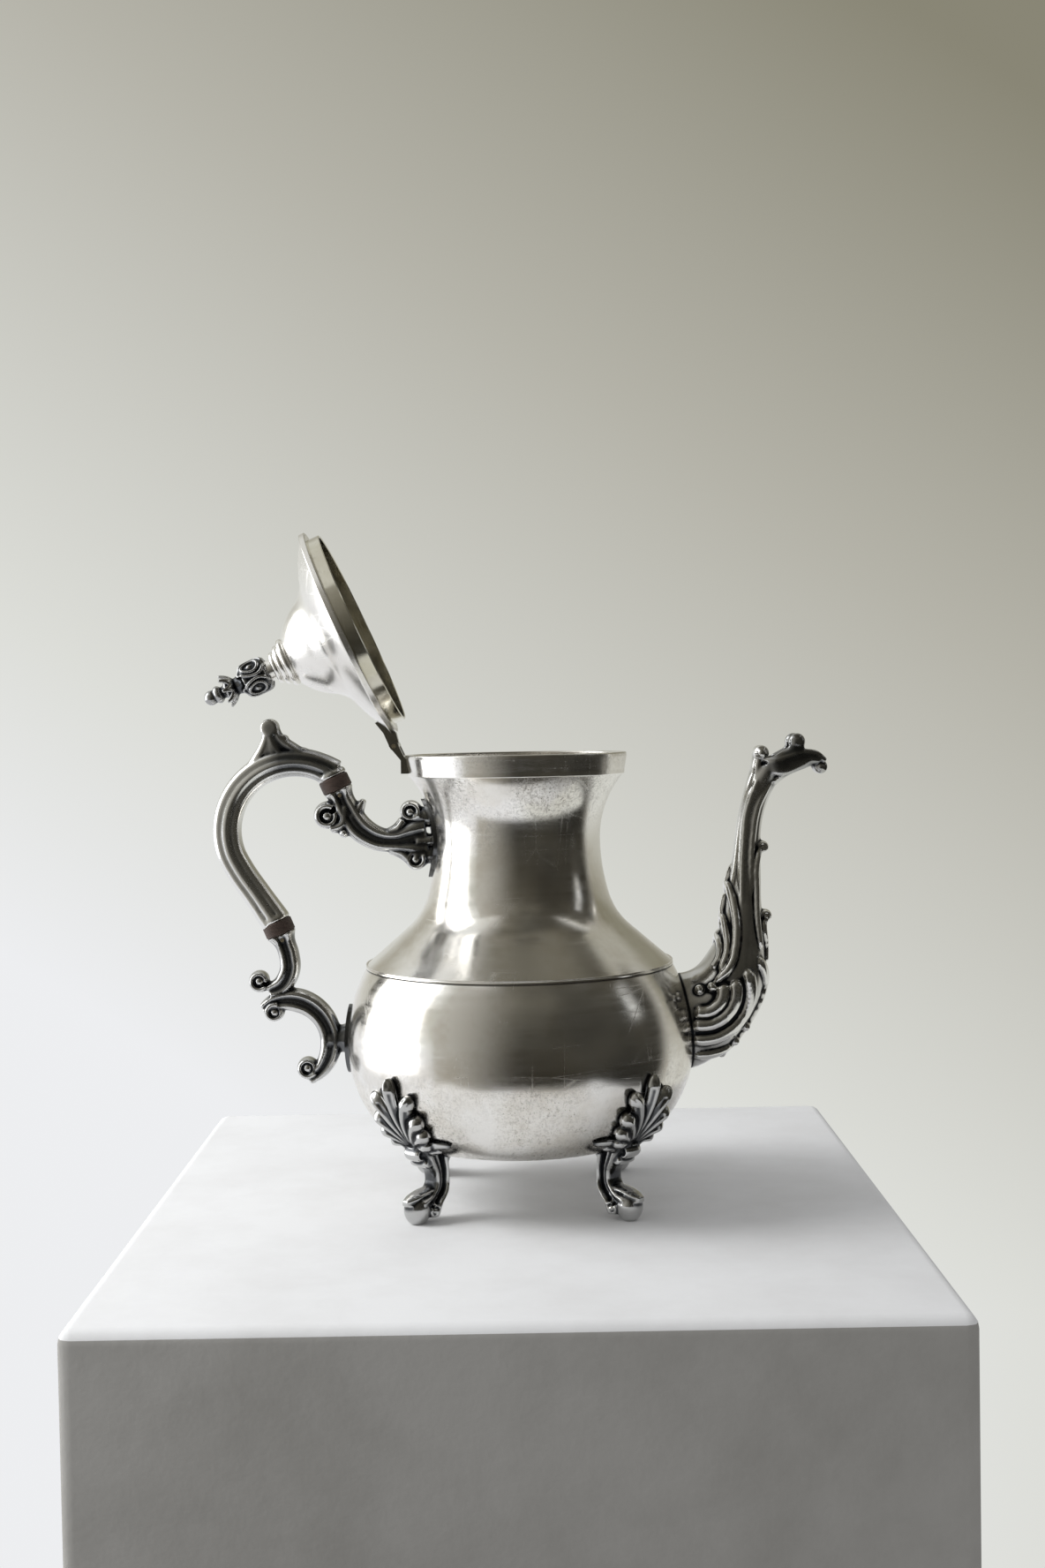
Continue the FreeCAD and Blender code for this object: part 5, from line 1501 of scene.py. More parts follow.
    def build_grip(self, finishes: Finishes) -> None:
        """Sweep the reeded grip and carve its thumb rest.

        Args:
            finishes: the finishes to dress in.
        """
        x, z, radius = self.bow
        wide, deep = self.grip
        flare = self.ring[0]
        stations = []
        for angle in self.bow_angles:
            turned_to = math.radians(angle)
            width = wide if stations else flare
            stations.append((x + radius * math.cos(turned_to), z + radius * math.sin(turned_to), width, deep))
        low, last = self.lower_end, stations[-1]
        stations.append(((last[0] + low[0]) / 2, (last[1] + low[1]) / 2, wide, deep))
        stations.append((*low, flare, flare))
        forms = [arm(stations, Section.REEDED, 140)]
        steps, girths = np.array(self.ferrule).T
        for end, tilt in ((self.upper_end, self.upper_tilt), (self.lower_end, self.lower_tilt)):
            axis = np.array((-math.cos(math.radians(tilt)), 0, math.sin(math.radians(tilt))))
            path = np.array([(end[0], 0, end[1]) + axis * step for step in steps])
            forms.append(rod(path, girths * flare, girths * flare, SIDE, 32))
        tip_x, tip_z = self.thumb
        for aside, above, curl, half in self.thumb_rolls:
            forms.append(roll((tip_x + aside, tip_z + above), curl, half))
        forms += [run.form(tip_x, tip_z) for run in self.thumb_runs]
        grip = FOUNDER.cast("cast_handle_grip", forms, self.grain, relax=self.grip_relax)
        dress(grip, finishes.grip, Body.POT, "handle_grip")

    def build_upper_bracket(self, finishes: Finishes, vessel: Vessel) -> None:
        """Carve the arm from the neck to the upper insulator, with its volutes, step and leaf.

        Args:
            finishes: the finishes to dress in.
            vessel: the vessel whose wall it is seated on.
        """
        head = self.head(self.upper_end, self.upper_tilt, self.upper_head)
        forms = [arm((*head, *self.upper_main), Section.PAIRED, 110)]
        forms += [run.form() for run in self.upper_runs]
        forms.append(ball((self.upper_bead[0], 0, self.upper_bead[1]), self.bead))
        for curl in self.upper_curls:
            forms += volute(*curl)
        bracket = FOUNDER.cast("cast_upper_bracket", forms, self.grain, vessel.neck_wall())
        dress(bracket, finishes.bracket, Body.POT, "upper_handle_bracket")

    def build_lower_bracket(self, finishes: Finishes, vessel: Vessel) -> None:
        """Carve the S scroll and the C scroll between the lower insulator and the bowl.

        Args:
            finishes: the finishes to dress in.
            vessel: the vessel whose wall it is seated on.
        """
        head = self.head(self.lower_end, self.lower_tilt, self.lower_head)
        x, z, radius, deep = self.scroll
        turns = [(math.radians(angle), width) for angle, width in self.scroll_widths]
        stations = [
            (x + radius * math.cos(turn), z + radius * math.sin(turn), width, deep) for turn, width in turns]
        forms = [
            arm((*head, *self.lower_main), Section.PAIRED, 80), arm(stations, Section.PAIRED, 110),
            self.lower_root.form()]
        for curl in self.lower_curls:
            forms += volute(*curl)
        bracket = FOUNDER.cast("cast_lower_bracket", forms, self.grain, vessel.bowl_wall())
        dress(bracket, finishes.bracket, Body.POT, "lower_handle_bracket")


# Spout


Rib = tuple[float, float, float, float, float, float]


@dataclass
class Spout:
    """Hollow spout with gadroons at its root, leaves along it and scrolls at its lip.

    Its stations are (x, z, slope, half length, half width). A rib is (half width, half height,
    rounded start, rounded end, width at its start, lift). The lip's places are counted from
    the mouth.
    """

    stations: tuple[tuple[float, ...], ...] = (
        (58.0, 69.7, 6.0, 20.2, 16.0),
        (70.6, 71.0, 6.0, 20.2, 16.0),
        (88.6, 89.5, 36.0, 15.7, 15.7),
        (92.6, 127.0, 62.0, 7.3, 7.3),
        (97.0, 161.0, 75.0, 5.3, 5.3),
        (100.8, 170.0, 68.0, 6.2, 6.2),
        (108.2, 177.0, 100.0, 8.6, 7.2),
    )
    wall: float = 1.4
    sunk: float = 1.3
    sunk_below: Place = (118.0, 14.0)
    hub: Place = (73.3, 84.6)
    fans: tuple[tuple[float, float, float], ...] = (
        (8.2, -112, 19), (13.6, -107, 19), (19.8, -102, 25), (26.4, -98, 29))
    gadroon: Rib = (2.75, 1.9, 0.1, 0.09, 0.85, 0.3)
    eyes: tuple[Place, ...] = ((72.3, 85.0), (77.4, 86.2))
    eye: Place = (2.0, 0.6)
    beads: tuple[Place, ...] = ((91.8, 68.4), (87.4, 62.6), (81.8, 57.8))
    bead: Place = (1.9, 5.0)
    fronds: tuple[tuple[Rib, tuple[Place, ...]], ...] = (
        ((1.9, 1.6, 0.1, 0.3, 0.8, 0.4),
         ((78.5, 88.1), (84.7, 94.7), (87.6, 106.0), (87.1, 118.9), (85.4, 126.7), (82.9, 135.2))),
        ((1.7, 1.6, 0.1, 0.25, 0.8, 0.5),
         ((80.7, 92.3), (84.0, 100.8), (83.9, 110.0), (82.9, 117.9), (80.9, 123.4))),
        ((1.5, 1.5, 0.1, 0.3, 0.8, 0.5), ((77.9, 93.0), (80.9, 98.3), (81.4, 103.3), (79.4, 109.0))),
        ((1.5, 1.5, 0.1, 0.2, 0.8, 0.5),
         ((97.6, 100.5), (96.4, 111.3), (96.3, 123.4), (96.8, 136.2), (98.8, 142.6))),
        ((1.6, 1.6, 0.1, 0.2, 0.8, 0.5), ((101.5, 94.0), (99.8, 103.7), (99.1, 110.1), (100.0, 114.4))),
        ((1.3, 0.8, 0.3, 0.2, 0.9, 0.0), ((90.1, 118.0), (91.2, 141.7), (93.3, 157.7), (97.8, 169.5))),
        ((1.1, 0.8, 0.3, 0.2, 0.9, 0.0), ((94.3, 122.0), (95.5, 145.1), (98.3, 159.1), (103.6, 168.4))),
    )
    curls: tuple[Curl, ...] = (((99.9, 141.4), 2.9, 4.2, 190, -1), ((100.8, 113.4), 2.9, 4.8, 190, -1))
    mouth: Place = (108.6, 178.0)
    lip_rolls: tuple[tuple[float, float, float, float], ...] = (
        (-9.0, 1.8, 3.2, 4.8), (15.0, -4.2, 2.9, 4.6))
    lip_runs: tuple[Run, ...] = (
        Run(((-11.2, -14.0, 2.0, 4.4), (-11.0, -8.0, 2.6, 4.8), (-10.4, -3.0, 2.8, 5.0),
             (-9.2, 1.4, 2.8, 4.8)), rings=30),
        Run(((-4.6, -10.0, 2.0, 5.6), (1.0, -6.2, 1.8, 6.2), (8.0, -3.6, 1.6, 5.6), (13.4, -2.0, 1.5, 4.6),
             (16.4, -3.2, 1.3, 4.2)), rings=40),
    )
    lip_wall: tuple[tuple[float, float, float], ...] = (
        (-6.5, -3.4, 3.6), (-1.0, -3.0, 4.6), (4.6, -1.2, 4.2), (10.0, -0.2, 3.0), (14.6, -1.6, 1.4))
    lip_edge: tuple[tuple[float, float, float], ...] = (
        (-9.0, -0.4, 3.6), (-4.5, -1.4, 6.2), (1.0, 0.2, 6.6), (8.2, 2.0, 5.7), (13.4, 1.2, 4.6),
        (16.8, -1.8, 4.0))
    lip_neck: tuple[tuple[float, ...], ...] = (
        (-2.0, 5.8, -2.0, 3.6, 1.4), (3.6, 5.7, 1.4, 3.4, 1.6), (6.0, 5.4, 5.4, 2.8, 1.8))
    lip_eyes: tuple[tuple[Colour, Colour], ...] = (
        ((-9.0, 4.4, 1.8), (2.112, 2.112, 2.112)), ((5.2, 5.2, 6.2), (3.52, 2.56, 3.52)),
        ((15.0, 4.0, -4.4), (1.7, 1.7, 1.7)))
    sheet: Place = (1.0, 1.25)
    grain: float = 0.36
    relax: float = 0.8

    def spine(self, count: int) -> np.ndarray:
        """Rows of (x, z, slope, half length, half width) along the spout."""
        return through(self.stations, count)

    def rings(self, inset: float, count: int = 110, steps: int = 72) -> np.ndarray:
        """Rings of points round the spout, drawn in by an inset and sunk where the gadroons lie.

        Args:
            inset: how far the rings are drawn in.
            count: number of rings.
            steps: points on each ring.

        Returns:
            One row of points for each ring.
        """
        rows = self.spine(count)
        slope = np.radians(rows[:, 2])
        across = np.stack((np.sin(slope), 0 * slope, -np.cos(slope)), axis=1)
        angle = np.linspace(0, 2 * math.pi, steps, endpoint=False)
        low = np.clip((self.sunk_below[0] - rows[:, 1]) / self.sunk_below[1], 0, 1)[:, None]
        front = 0.5 + 0.5 * np.clip(1.3 * np.cos(angle) + 0.5, -1, 1)
        inset = inset + self.sunk * low * front
        middle = np.stack((rows[:, 0], 0 * rows[:, 0], rows[:, 1]), axis=1)
        long = (rows[:, 3][:, None] - inset) * np.cos(angle)
        wide = (rows[:, 4][:, None] - inset) * np.sin(angle)
        return middle[:, None] + long[..., None] * across[:, None] + wide[..., None] * SIDE

    def pipe(self) -> Form:
        """Hollow pipe of the spout, open at both ends.

        Returns:
            Its points and faces.
        """
        outer = self.rings(0.0)
        inner = self.rings(self.wall)[::-1]
        rows = np.concatenate((outer, inner))
        return Form(rows.reshape(-1, 3), quads(*rows.shape[:2], True))

    def on_skin(self, path: np.ndarray, lift: np.ndarray | float = 0.0) -> tuple[np.ndarray, np.ndarray]:
        """Lay a drawn line on the near side of the spout.

        Args:
            path: rows of (x, z) as seen from the side.
            lift: distance off the skin.

        Returns:
            The points on the spout's skin, and the skin's outward directions there.
        """
        grid = self.rings(0.0, 240, 144)
        along = np.gradient(grid, axis=0)
        around = (np.roll(grid, -1, axis=1) - np.roll(grid, 1, axis=1)) / 2
        out = unit(np.cross(around, along))
        near = grid[..., 1] <= 0.01
        points, normals = grid[near], out[near]
        gaps = np.linalg.norm(path[:, None] - points[None][..., (0, 2)], axis=2)
        best = np.argsort(gaps, axis=1)[:, :6]
        weight = 1 / (np.take_along_axis(gaps, best, axis=1) + 0.05)
        weight = (weight / weight.sum(1, keepdims=True))[..., None]
        normal = unit((normals[best] * weight).sum(1))
        return (points[best] * weight).sum(1) + normal * np.broadcast_to(lift, len(path))[:, None], normal

    def rib(self, line: Stations, rib: Rib) -> list[Form]:
        """Raised rib or leaf on both sides of the spout.

        Args:
            line: stops of its run as seen from the side.
            rib: its sizes.

        Returns:
            The two ribs.
        """
        count = 48
        wide, tall, start, end, swell, lift = rib
        points, out = self.on_skin(through(line, count), lift)
        share = taper(count, start, end, swell)
        near = rod(points, wide * share, tall * share, out, 14)
        return [near, near.mirrored()]

    def gadroons(self) -> list[Form]:
        """Curved ribs that fan round the scroll at the spout's root, with small curls and beads.

        Returns:
            One form for each rib, curl and bead.
        """
        forms: list[Form] = []
        for reach, first, last in self.fans:
            angles = np.radians(np.linspace(first, last, 12))
            line = np.stack(
                (self.hub[0] + reach * np.cos(angles), self.hub[1] + reach * np.sin(angles)), axis=1)
            forms += self.rib(line, self.gadroon)
        for place in self.eyes:
            points, _ = self.on_skin(np.array([place]), self.eye[1])
            eye = ball(points[0], self.eye[0])
            forms += [eye, eye.mirrored()]
        return forms + [roll(place, *self.bead) for place in self.beads]

    def leaves(self) -> list[Form]:
        """Fronds that climb the spout's back, ridges with curled tips up its front, and long flutes.

        Returns:
            One form for each frond, ridge and flute.
        """
        forms: list[Form] = []
        for rib, line in self.fronds:
            forms += self.rib(line, rib)
        for curl in self.curls:
            forms += volute(*curl)
        return forms

    def lips(self) -> list[Form]:
        """Scrolls of the lip: a back roll, a pair of raised volutes and a scoop with a curled beak.

        Returns:
            One form for each scroll and roll.
        """
        x, z = self.mouth
        forms = [roll((x + aside, z + above), curl, half) for aside, above, curl, half in self.lip_rolls]
        forms += [run.form(x, z) for run in self.lip_runs]
        wall, edge = (
            through([(x + aside, z + above, size) for aside, above, size in rows], 40)
            for rows in (self.lip_wall, self.lip_edge))
        neck = np.array(self.lip_neck)
        thin, rim = self.sheet
        for side in (-1, 1):
            for (aside, across, above), radii in self.lip_eyes:
                forms.append(ball((x + aside, side * across, z + above), radii))
            forms.append(rod(neck[:, :3] * (1, side, 1) + (x, 0, z), neck[:, 3], neck[:, 4], SIDE, 16))
            across = side * np.interp(wall[:, 0], edge[:, 0], edge[:, 2])
            path = np.stack((wall[:, 0], across, wall[:, 1]), axis=1)
            forms.append(rod(path, wall[:, 2], thin, SIDE, 16))
            forms.append(rod(edge[:, (0, 2, 1)] * (1, side, 1), rim, rim, UP, 14))
        return forms

    def build(self, finishes: Finishes, vessel: Vessel) -> None:
        """Build and dress the spout.

        Args:
            finishes: the finishes to dress in.
            vessel: the vessel whose wall it is seated on.
        """
        forms = [self.pipe(), *self.gadroons(), *self.leaves(), *self.lips()]
        spout = FOUNDER.cast("cast_spout", forms, self.grain, vessel.bowl_wall(), self.relax)
        dress(spout, finishes.spout, Body.POT, "spout")


# Feet


@dataclass
class Feet:
    """Four equal scroll feet with shells on the bowl, carved along +X and turned into place.

    A lobe is (lean, reach, half width), one of its layers (lift and its growth, share of the
    width, height by the width and in itself, points round it) and a leaf (rise and its two
    bends, start and run to the side, lift and its drop, half width).
    """

    knee: float = 31.0
    lobes: tuple[tuple[float, float, float], ...] = (
        (62.0, 10.5, 3.1), (43.0, 15.2, 3.7), (27.0, 20.4, 4.0), (12.5, 27.2, 3.8), (0.0, 31.6, 3.4))
    bend: float = 0.16
    swell: Place = (0.34, 0.66)
    layers: tuple[tuple[float, float, float, float, float, int], ...] = (
        (0.5, 1.5, 1.0, 0.7, 0.4, 18), (0.8, 1.7, 0.52, 0.92, 0.3, 14))
    lobe_tip: Place = (2.2, 0.78)
    leaves: tuple[tuple[float, ...], ...] = (
        (2.6, 2.0, -1.5, 2, 17, 1.2, 0.7, 2.2), (-2.0, 0.0, 0.6, 2, 10, 1.2, 0.6, 2.0))
    leaf_height: float = 1.5
    ankle: Place = (48.4, 16.5)
    toe: Place = (58.7, 6.3)
    toe_flat: float = 3.0
    toe_shape: Place = (0.86, 0.84)
    grain: float = 0.34
    angles: dict[str, float] = field(default_factory=lambda: {
        "foot_rear_right": 45, "foot_rear_left": 135, "foot_front_left": 225, "foot_front_right": 315})

    def on_bowl(
        self, vessel: Vessel, up: np.ndarray, aside: np.ndarray, lift: np.ndarray | float
    ) -> tuple[np.ndarray, np.ndarray]:
        """Places on the bowl's lower curve.

        Args:
            vessel: the bowl's sizes.
            up: distances up the curve from the knee.
            aside: distances round the bowl.
            lift: distance off the bowl.

        Returns:
            The points and the bowl's outward directions there.
        """
        curve = vessel.lower_curve
        angle = math.asin((self.knee - vessel.belly[1]) / curve) + up / curve
        radius = vessel.belly[0] - curve + curve * np.cos(angle)
        turn = aside / radius
        out = np.stack((np.cos(angle) * np.cos(turn), np.cos(angle) * np.sin(turn), np.sin(angle)), axis=1)
        points = np.stack(
            (radius * np.cos(turn), radius * np.sin(turn), vessel.belly[1] + curve * np.sin(angle)), axis=1)
        return points + out * np.broadcast_to(lift, len(out))[:, None], out

    def shell_forms(self, vessel: Vessel) -> list[Form]:
        """Rounded lobes of the shell, each with a scrolled tip, and the leaves under it.

        Args:
            vessel: the vessel whose wall it is seated on.

        Returns:
            One form for each lobe, tip and leaf.
        """
        forms: list[Form] = []
        count = 30
        share = np.linspace(0, 1, count)
        start, growth = self.swell
        tip_lift, tip_size = self.lobe_tip
        for spread_to, reach, half in self.lobes:
            for side in (-1, 1) if spread_to else (1,):
                lean = side * math.radians(spread_to)
                bent = lean + self.bend * np.sign(lean) * share**2
                width = half * (start + growth * share) * taper(count, 0.1, 0.2, 1.0)
                up, aside = reach * share * np.cos(bent), reach * share * np.sin(bent)
                for lift, climb, broad, high, more, steps in self.layers:
                    points, out = self.on_bowl(vessel, up, aside, lift + climb * share)
                    forms.append(rod(points, broad * width, high * width + more, out, steps))
                points, _ = self.on_bowl(vessel, up[-5:-4], aside[-5:-4], tip_lift)
                forms.append(ball(points[0], tip_size * half))
        blade = taper(count, 0.2, 0.5, 1.0)
        for rise, curve, slope, start, run, lift, drop, half in self.leaves:
            for side in (-1, 1):
                points, out = self.on_bowl(
                    vessel, rise + curve * share**2 + slope * share, side * (start + run * share),
                    lift - drop * share)
                forms.append(rod(points, half * blade, self.leaf_height * blade, out, 16))
        return forms

    def leg_forms(self, knee_x: float) -> list[Form]:
        """Reeded leg with its flange, its toe and the scrolls at knee and toe.

        Args:
            knee_x: distance of the knee from the pot's axis.

        Returns:
            The forms of the leg.
        """
        ankle_x, ankle_z = self.ankle
        toe_x, toe = self.toe
        toe_z = math.sqrt(toe**2 - self.toe_flat**2)
        long, wide = self.toe_shape
        shin = (
            (knee_x - 1.0, self.knee + 2.0, 6.0, 7.5), (ankle_x + 3.4, 25.0, 4.6, 5.6),
            (ankle_x + 0.4, ankle_z + 2.0, 3.2, 4.3), (ankle_x + 0.6, ankle_z - 3.0, 3.0, 4.2),
            (ankle_x + 4.0, toe_z + 3.6, 3.3, 4.6), (toe_x - 1.0, toe_z + 0.6, 4.6, 5.2))
        instep = (
            (ankle_x + 3.0, toe_z + 5.2, 3.0, 3.8), (toe_x - 1.6, toe_z + 4.6, 2.6, 4.0),
            (toe_x + 3.4, toe_z + 3.4, 2.2, 3.2), (toe_x + 6.0, toe_z + 3.4, 1.2, 1.8))
        flange = (
            (ankle_x - 0.6, 27.0, 1.5, 6.2), (ankle_x - 2.4, ankle_z + 1.0, 1.3, 5.4),
            (ankle_x - 1.6, ankle_z - 5.0, 1.4, 5.6), (toe_x - 8.2, toe_z + 1.4, 1.6, 6.0),
            (toe_x - 6.0, 2.6, 1.8, 6.0))
        forms = [
            arm(shin, Section.LEG, 90), arm(instep, Section.PAIRED, 40), arm(flange, Section.PLAIN, 60),
            ball((toe_x - 0.4, 0, toe_z), (long * toe, wide * toe, toe)),
            roll((knee_x - 1.6, self.knee - 7.4), 2.0, 4.8),
        ]
        forms += volute((toe_x - 5.4, toe_z - 0.9), 3.4, 6.0, 80, 1)
        return forms + volute((knee_x + 1.0, self.knee - 3.6), 3.6, 4.6, 120, -1)

    def build(self, finishes: Finishes, vessel: Vessel) -> None:
        """Carve one foot and set it in four places.

        Args:
            finishes: the finishes to dress in.
            vessel: the vessel whose wall it is seated on.
        """
        curve = vessel.lower_curve
        knee_x = vessel.belly[0] - curve + math.sqrt(curve**2 - (vessel.belly[1] - self.knee) ** 2)
        forms = self.shell_forms(vessel) + self.leg_forms(knee_x)
        foot = FOUNDER.cast("cast_foot", forms, self.grain, vessel.bowl_wall())
        mesh = foot.data
        bpy.data.objects.remove(foot)
        place = read_points(mesh)
        place[:, 2] = np.maximum(place[:, 2], 0)
        mesh.vertices.foreach_set("co", place.ravel())
        for name, angle in self.angles.items():
            item = new_object(f"cast_{name}", mesh.copy())
            item.data.transform(Matrix.Rotation(math.radians(angle), 4, "Z"))
            dress(item, finishes.foot, Body.POT, name)
        bpy.data.meshes.remove(mesh)


# Studio


@dataclass
class Studio:
    """Pale floor, soft window light, reflecting cards and the camera."""

    floor: tuple[float, float, float, float] = (-0.152, 0.148, -0.165, 0.170)
    floor_depth: float = 0.5
    floor_edge: float = 0.005
    floor_crease: float = 30.0
    upright: float = 0.4
    # Darker plaster for the block's upright sides: painted shade.
    sides: PalePlaster = PalePlaster(
        "floor_sides_painted_shade", pale=(0.36, 0.352, 0.335), grey=(0.29, 0.282, 0.265), lumps=0.7)
    eye: tuple[float, float, float] = (0.0025, -0.763, 0.1947)
    pitch: float = 1.945
    tilt: float = -1.0
    lens: float = 43.0
    sensor: float = 36.0
    window: tuple[float, float, float] = (-1.6, 0.19, 0.9)
    window_size: Place = (1.53, 2.5)
    window_power: float = 28.0
    window_colour: Colour = (0.98, 0.99, 1.0)
    sky: tuple[float, float, float] = (-1.5, -0.1, 1.15)
    sky_size: float = 0.8
    sky_power: float = 18.0
    sky_aim: tuple[float, float, float] = (0.0, 0.0, 0.05)
    fill: float = 0.5
    pale: Colour = (0.46, 0.445, 0.40)
    lofty: Colour = (0.80, 0.80, 0.775)
    strip: Colour = (0.78, 0.80, 0.80)
    dim: Colour = (0.012, 0.011, 0.008)
    dusk: Colour = (0.122, 0.114, 0.090)
    clouding: Place = (0.55, 1.4)
    cloud: Place = (1.6, 2.0)
    cloud_range: Place = (0.36, 0.64)
    front_screen: tuple[Place, Place, float] = ((-58, 112), (-0.7, 1.7), 1.5)
    front_fade: tuple[Place, float] = ((0.0, 0.37), 0.08)
    strip_screen: tuple[Place, Place, float] = ((79, 89), (0.4, 1.0), 1.42)
    strip_fade: tuple[Place, float] = ((0.0, 0.12), 0.12)
    ceiling: tuple[Place, Place, float] = ((-1.0, 1.4), (-1.5, 0.6), 1.7)
    ceiling_fade: tuple[Place, float] = ((0.0, 0.3), 0.15)
    levels: tuple[tuple[int, Place, Place], ...] = (
        (0, (-0.3, 0.3), (0.165, -0.165)), (2, (-0.3, 0.4), (0.86, 0.30)), (2, (0.40, 0.58), (0.0, 0.27)))
    wall: tuple[tuple[float, Colour], ...] = (
        (0.24, (0.25, 0.238, 0.18)),
        (0.46, (0.46, 0.45, 0.395)),
        (0.72, (0.72, 0.727, 0.69)),
        (0.86, (0.85, 0.858, 0.875)),
    )

    def build(self) -> None:
        """Set up floor, light and camera."""
        self.build_floor()
        self.build_light()
        self.build_world()
        self.build_camera()

    def build_floor(self) -> None:
        """Plain pale block whose top is the floor, its upright sides painted darker as painted shade."""
        x0, x1, y0, y1 = self.floor
        deep = self.floor_depth
        block = bmesh.new()
        bmesh.ops.create_cube(block, size=1.0)
        bmesh.ops.scale(block, vec=(x1 - x0, y1 - y0, deep), verts=block.verts)
        bmesh.ops.translate(block, vec=((x0 + x1) / 2, (y0 + y1) / 2, -deep / 2), verts=block.verts)
        bmesh.ops.bevel(
            block, geom=block.edges[:], offset=self.floor_edge, segments=4, profile=0.5, affect="EDGES")
        mesh = bpy.data.meshes.new("floor")
        block.to_mesh(mesh)
        block.free()
        mesh.shade_smooth()
        mesh.set_sharp_from_angle(angle=math.radians(self.floor_crease))
        mesh.materials.append(PalePlaster("pale_floor").material())
        mesh.materials.append(self.sides.material())
        # Upright faces take the darker second material: painted shade on the block's sides.
        for face in mesh.polygons:
            face.material_index = int(abs(face.normal.z) < self.upright)
        new_object("floor", mesh)

    def card(
        self, name: str, points: np.ndarray, shades: tuple[Colour, Colour], pale: Colour, fade: Place,
        right: float
    ) -> None:
        """Cloudy card with soft sides that only the silver sees, as a studio flag.

        Args:
            name: the card's name.
            points: grid of points in metres.
            shades: its colours in the middle, at the first and the last row.
            pale: its colour at both sides.
            fade: where its left side starts and ends to take its colour, as shares of its width.
            right: width of the soft right side.
        """
        rows, columns = points.shape[:2]
        index = np.arange(rows * columns).reshape(rows, columns)
        faces = np.stack((index[:-1, :-1], index[:-1, 1:], index[1:, 1:], index[1:, :-1]), axis=-1)
        mesh = bpy.data.meshes.new(name)
        mesh.from_pydata(points.reshape(-1, 3).tolist(), [], faces.reshape(-1, 4).tolist())
        material = bpy.data.materials.new(name)
        material.use_nodes = True
        nodes = Nodes(material.node_tree)
        shares = np.meshgrid(np.linspace(0, 1, rows), np.linspace(0, 1, columns), indexing="ij")
        marks = []
        for label, values in zip(("along", "across"), shares):
            attribute = mesh.attributes.new(label, "FLOAT", "POINT")
            attribute.data.foreach_set("value", values.ravel().astype(np.float32))
            marks.append(nodes.add("ShaderNodeAttribute", attribute_name=label).outputs["Fac"])
        along, across = marks
        inner = nodes.math("MULTIPLY", *(
            nodes.fit(across, ends, kind="SMOOTHSTEP") for ends in (fade, (1.0, 1.0 - right))))
        cloud = nodes.add("ShaderNodeTexNoise")
        cloud.inputs["Scale"].default_value, cloud.inputs["Detail"].default_value = self.cloud
        tone = nodes.add("ShaderNodeVectorMath", operation="SCALE")
        nodes.join(nodes.tint(along, *shades), tone.inputs[0])
        nodes.join(nodes.fit(cloud.outputs[0], self.cloud_range, self.clouding), tone.inputs["Scale"])
        glow = nodes.add("ShaderNodeEmission")
        nodes.join(nodes.tint(inner, pale, tone.outputs[0]), glow.inputs["Color"])
        nodes.join(glow.outputs[0], nodes.add("ShaderNodeOutputMaterial").inputs[0])
        mesh.materials.append(material)
        item = new_object(name, mesh)
        item.visible_camera = False
        item.visible_diffuse = False
        item.visible_shadow = False

    def lamp(self, name: str, shape: str, power: float, place: Sequence[float]) -> Item:
        """Soft lamp that the eye doesn't see.

        Args:
            name: name of the lamp.
            shape: shape of its face.
            power: its power in watts.
            place: where it hangs, in metres.

        Returns:
            The lamp.
        """
        light = bpy.data.lights.new(name, "AREA")
        light.shape = shape
        light.energy = power
        item = new_object(name, light)
        item.location = place
        item.visible_camera = False
        return item

    def build_light(self) -> None:
        """Large soft window at the left, a soft lamp over it, and cards in front, at the right and above."""
        window = self.lamp("window", "RECTANGLE", self.window_power, self.window)
        window.data.size, window.data.size_y = self.window_size
        window.data.color = self.window_colour
        window.rotation_euler = (math.radians(90), 0, math.radians(-90))
        sky = self.lamp("sky", "DISK", self.sky_power, self.sky)
        sky.data.size = self.sky_size
        sky.rotation_euler = (Vector(self.sky_aim) - Vector(self.sky)).to_track_quat("-Z", "Y").to_euler()
        sky.visible_glossy = False
        front, strip = self.screen(*self.front_screen), self.screen(*self.strip_screen)
        self.card("front_card", front, (self.dim, self.dusk), self.pale, *self.front_fade)
        self.card("strip_card", strip, (self.strip, self.strip), self.dim, *self.strip_fade)
        wide, deep, height = self.ceiling
        across, along = np.meshgrid(np.linspace(*wide, 6), np.linspace(*deep, 6))
        above = np.stack((across, along, 0 * across + height), axis=-1)
        self.card("top_card", above, (self.dusk, self.dusk), self.lofty, *self.ceiling_fade)

    def screen(self, sweep: Place, rise: Place, reach: float) -> np.ndarray:
        """Upright curved screen in front of the pot.

        Args:
            sweep: where it starts and ends, in degrees to the right of the eye.
            rise: its lower and upper edge, in metres.
            reach: its distance from the pot's axis.

        Returns:
            Grid of points in metres.
        """
        angle = np.radians(np.linspace(*sweep, 40))[None]
        height = np.linspace(*rise, 8)[:, None]
        across, ahead = reach * np.sin(angle), -reach * np.cos(angle)
        return np.stack((across + 0 * height, ahead + 0 * height, height + 0 * angle), axis=-1)

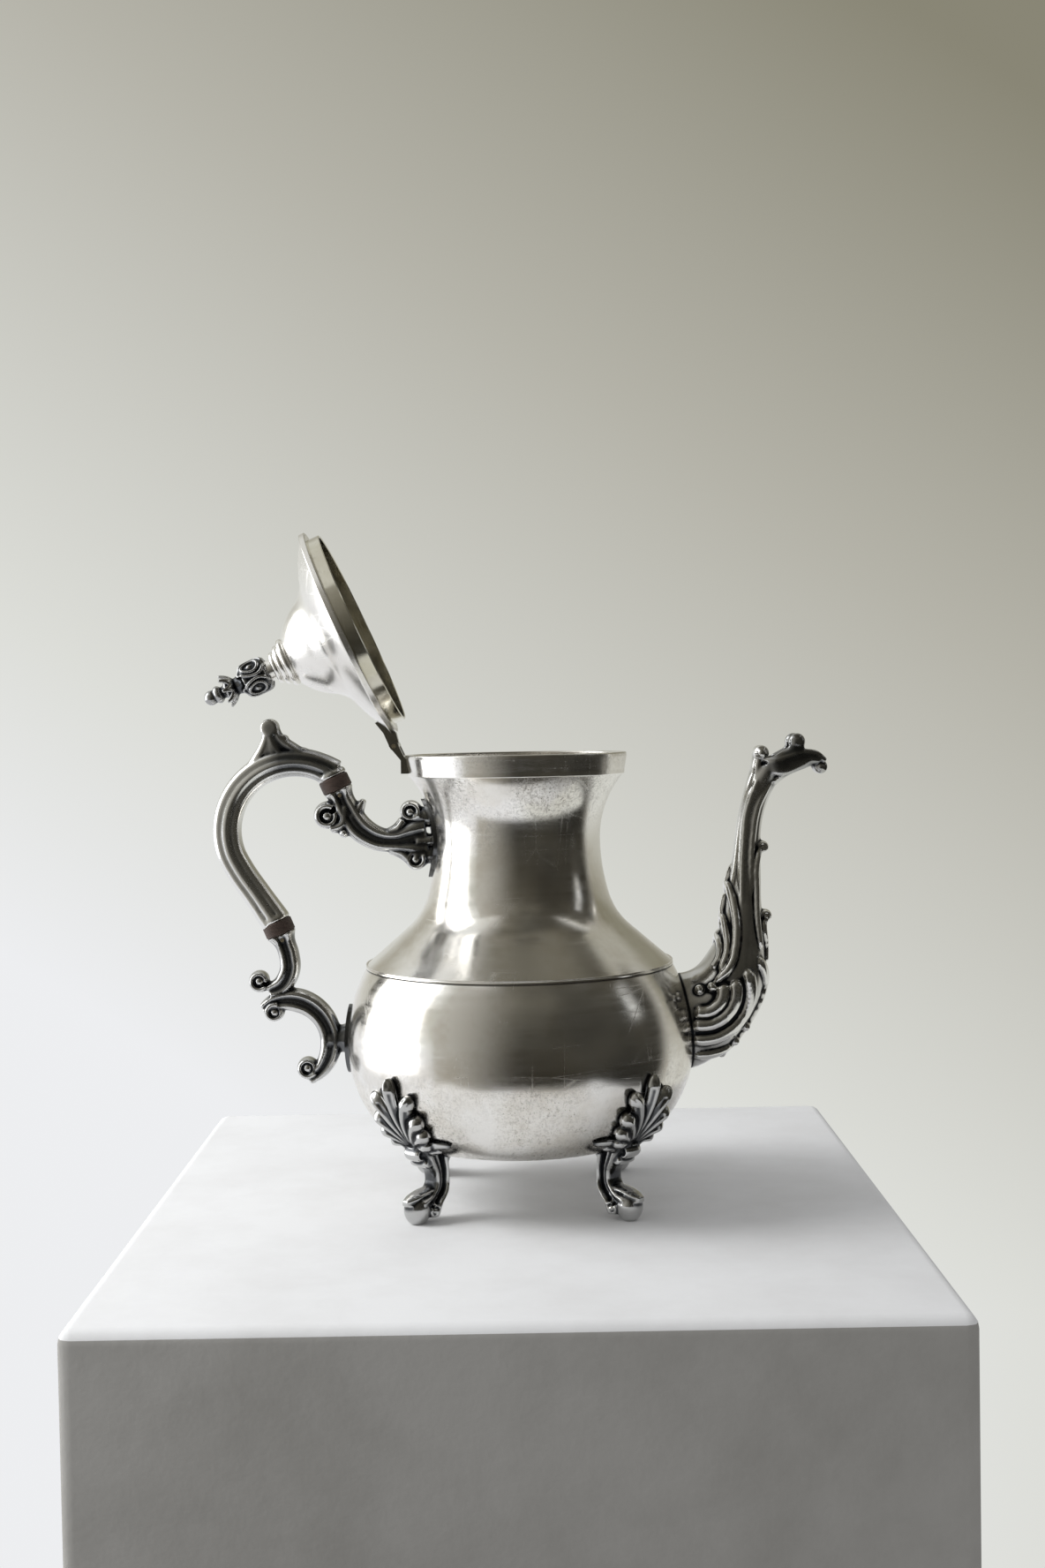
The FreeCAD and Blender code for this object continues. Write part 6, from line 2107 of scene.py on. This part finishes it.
    def build_world(self) -> None:
        """Pale wall behind the pot, seen by the eye and in the silver, and an even fill."""
        world = bpy.data.worlds.new("studio")
        bpy.context.scene.world = world
        world.use_nodes = True
        nodes = Nodes(world.node_tree)
        axes = nodes.axes(nodes.add("ShaderNodeTexCoord").outputs["Generated"])
        level = nodes.math("ADD", *(nodes.fit(axes[axis], old, new) for axis, old, new in self.levels))
        ramp = nodes.add("ShaderNodeValToRGB")
        nodes.join(level, ramp.inputs[0])
        stops = ramp.color_ramp.elements
        while len(stops) < len(self.wall):
            stops.new(0.5)
        for element, (stop, colour) in zip(stops, self.wall):
            element.position = stop
            element.color = (*colour, 1)
        wall = nodes.add("ShaderNodeBackground")
        nodes.join(ramp.outputs[0], wall.inputs[0])
        fill = nodes.add("ShaderNodeBackground")
        fill.inputs["Color"].default_value = (1.0, 1.0, 1.0, 1)
        fill.inputs["Strength"].default_value = self.fill
        rays = nodes.add("ShaderNodeLightPath").outputs
        seen = nodes.math(
            "MAXIMUM", rays["Is Camera Ray"], rays["Is Glossy Ray"], rays["Is Transmission Ray"])
        mix = nodes.add("ShaderNodeMixShader")
        for socket, source in zip(mix.inputs, (seen, fill.outputs[0], wall.outputs[0])):
            nodes.join(source, socket)
        nodes.join(mix.outputs[0], nodes.add("ShaderNodeOutputWorld").inputs[0])
        bpy.context.scene.view_settings.view_transform = "Standard"

    def build_camera(self) -> None:
        """Camera at the side of the pot, a little above the rim's height."""
        data = bpy.data.cameras.new("camera")
        data.lens = self.lens
        data.sensor_width = self.sensor
        data.clip_start = 0.01
        item = new_object("camera", data)
        item.matrix_world = (
            Matrix.Translation(self.eye)
            @ Matrix.Rotation(math.radians(90 - self.pitch), 4, "X")
            @ Matrix.Rotation(math.radians(self.tilt), 4, "Z")
        )
        bpy.context.scene.camera = item


def main() -> None:
    """Build the teapot's pieces in order, then the studio."""
    logging.basicConfig(level=logging.INFO, format="%(message)s")
    finishes = Finishes()
    vessel = Vessel()
    vessel.build(finishes)
    Spout().build(finishes, vessel)
    Feet().build(finishes, vessel)
    Handle().build(finishes, vessel)
    Lid().build(finishes)
    Studio().build()


if __name__ == "__main__":
    main()
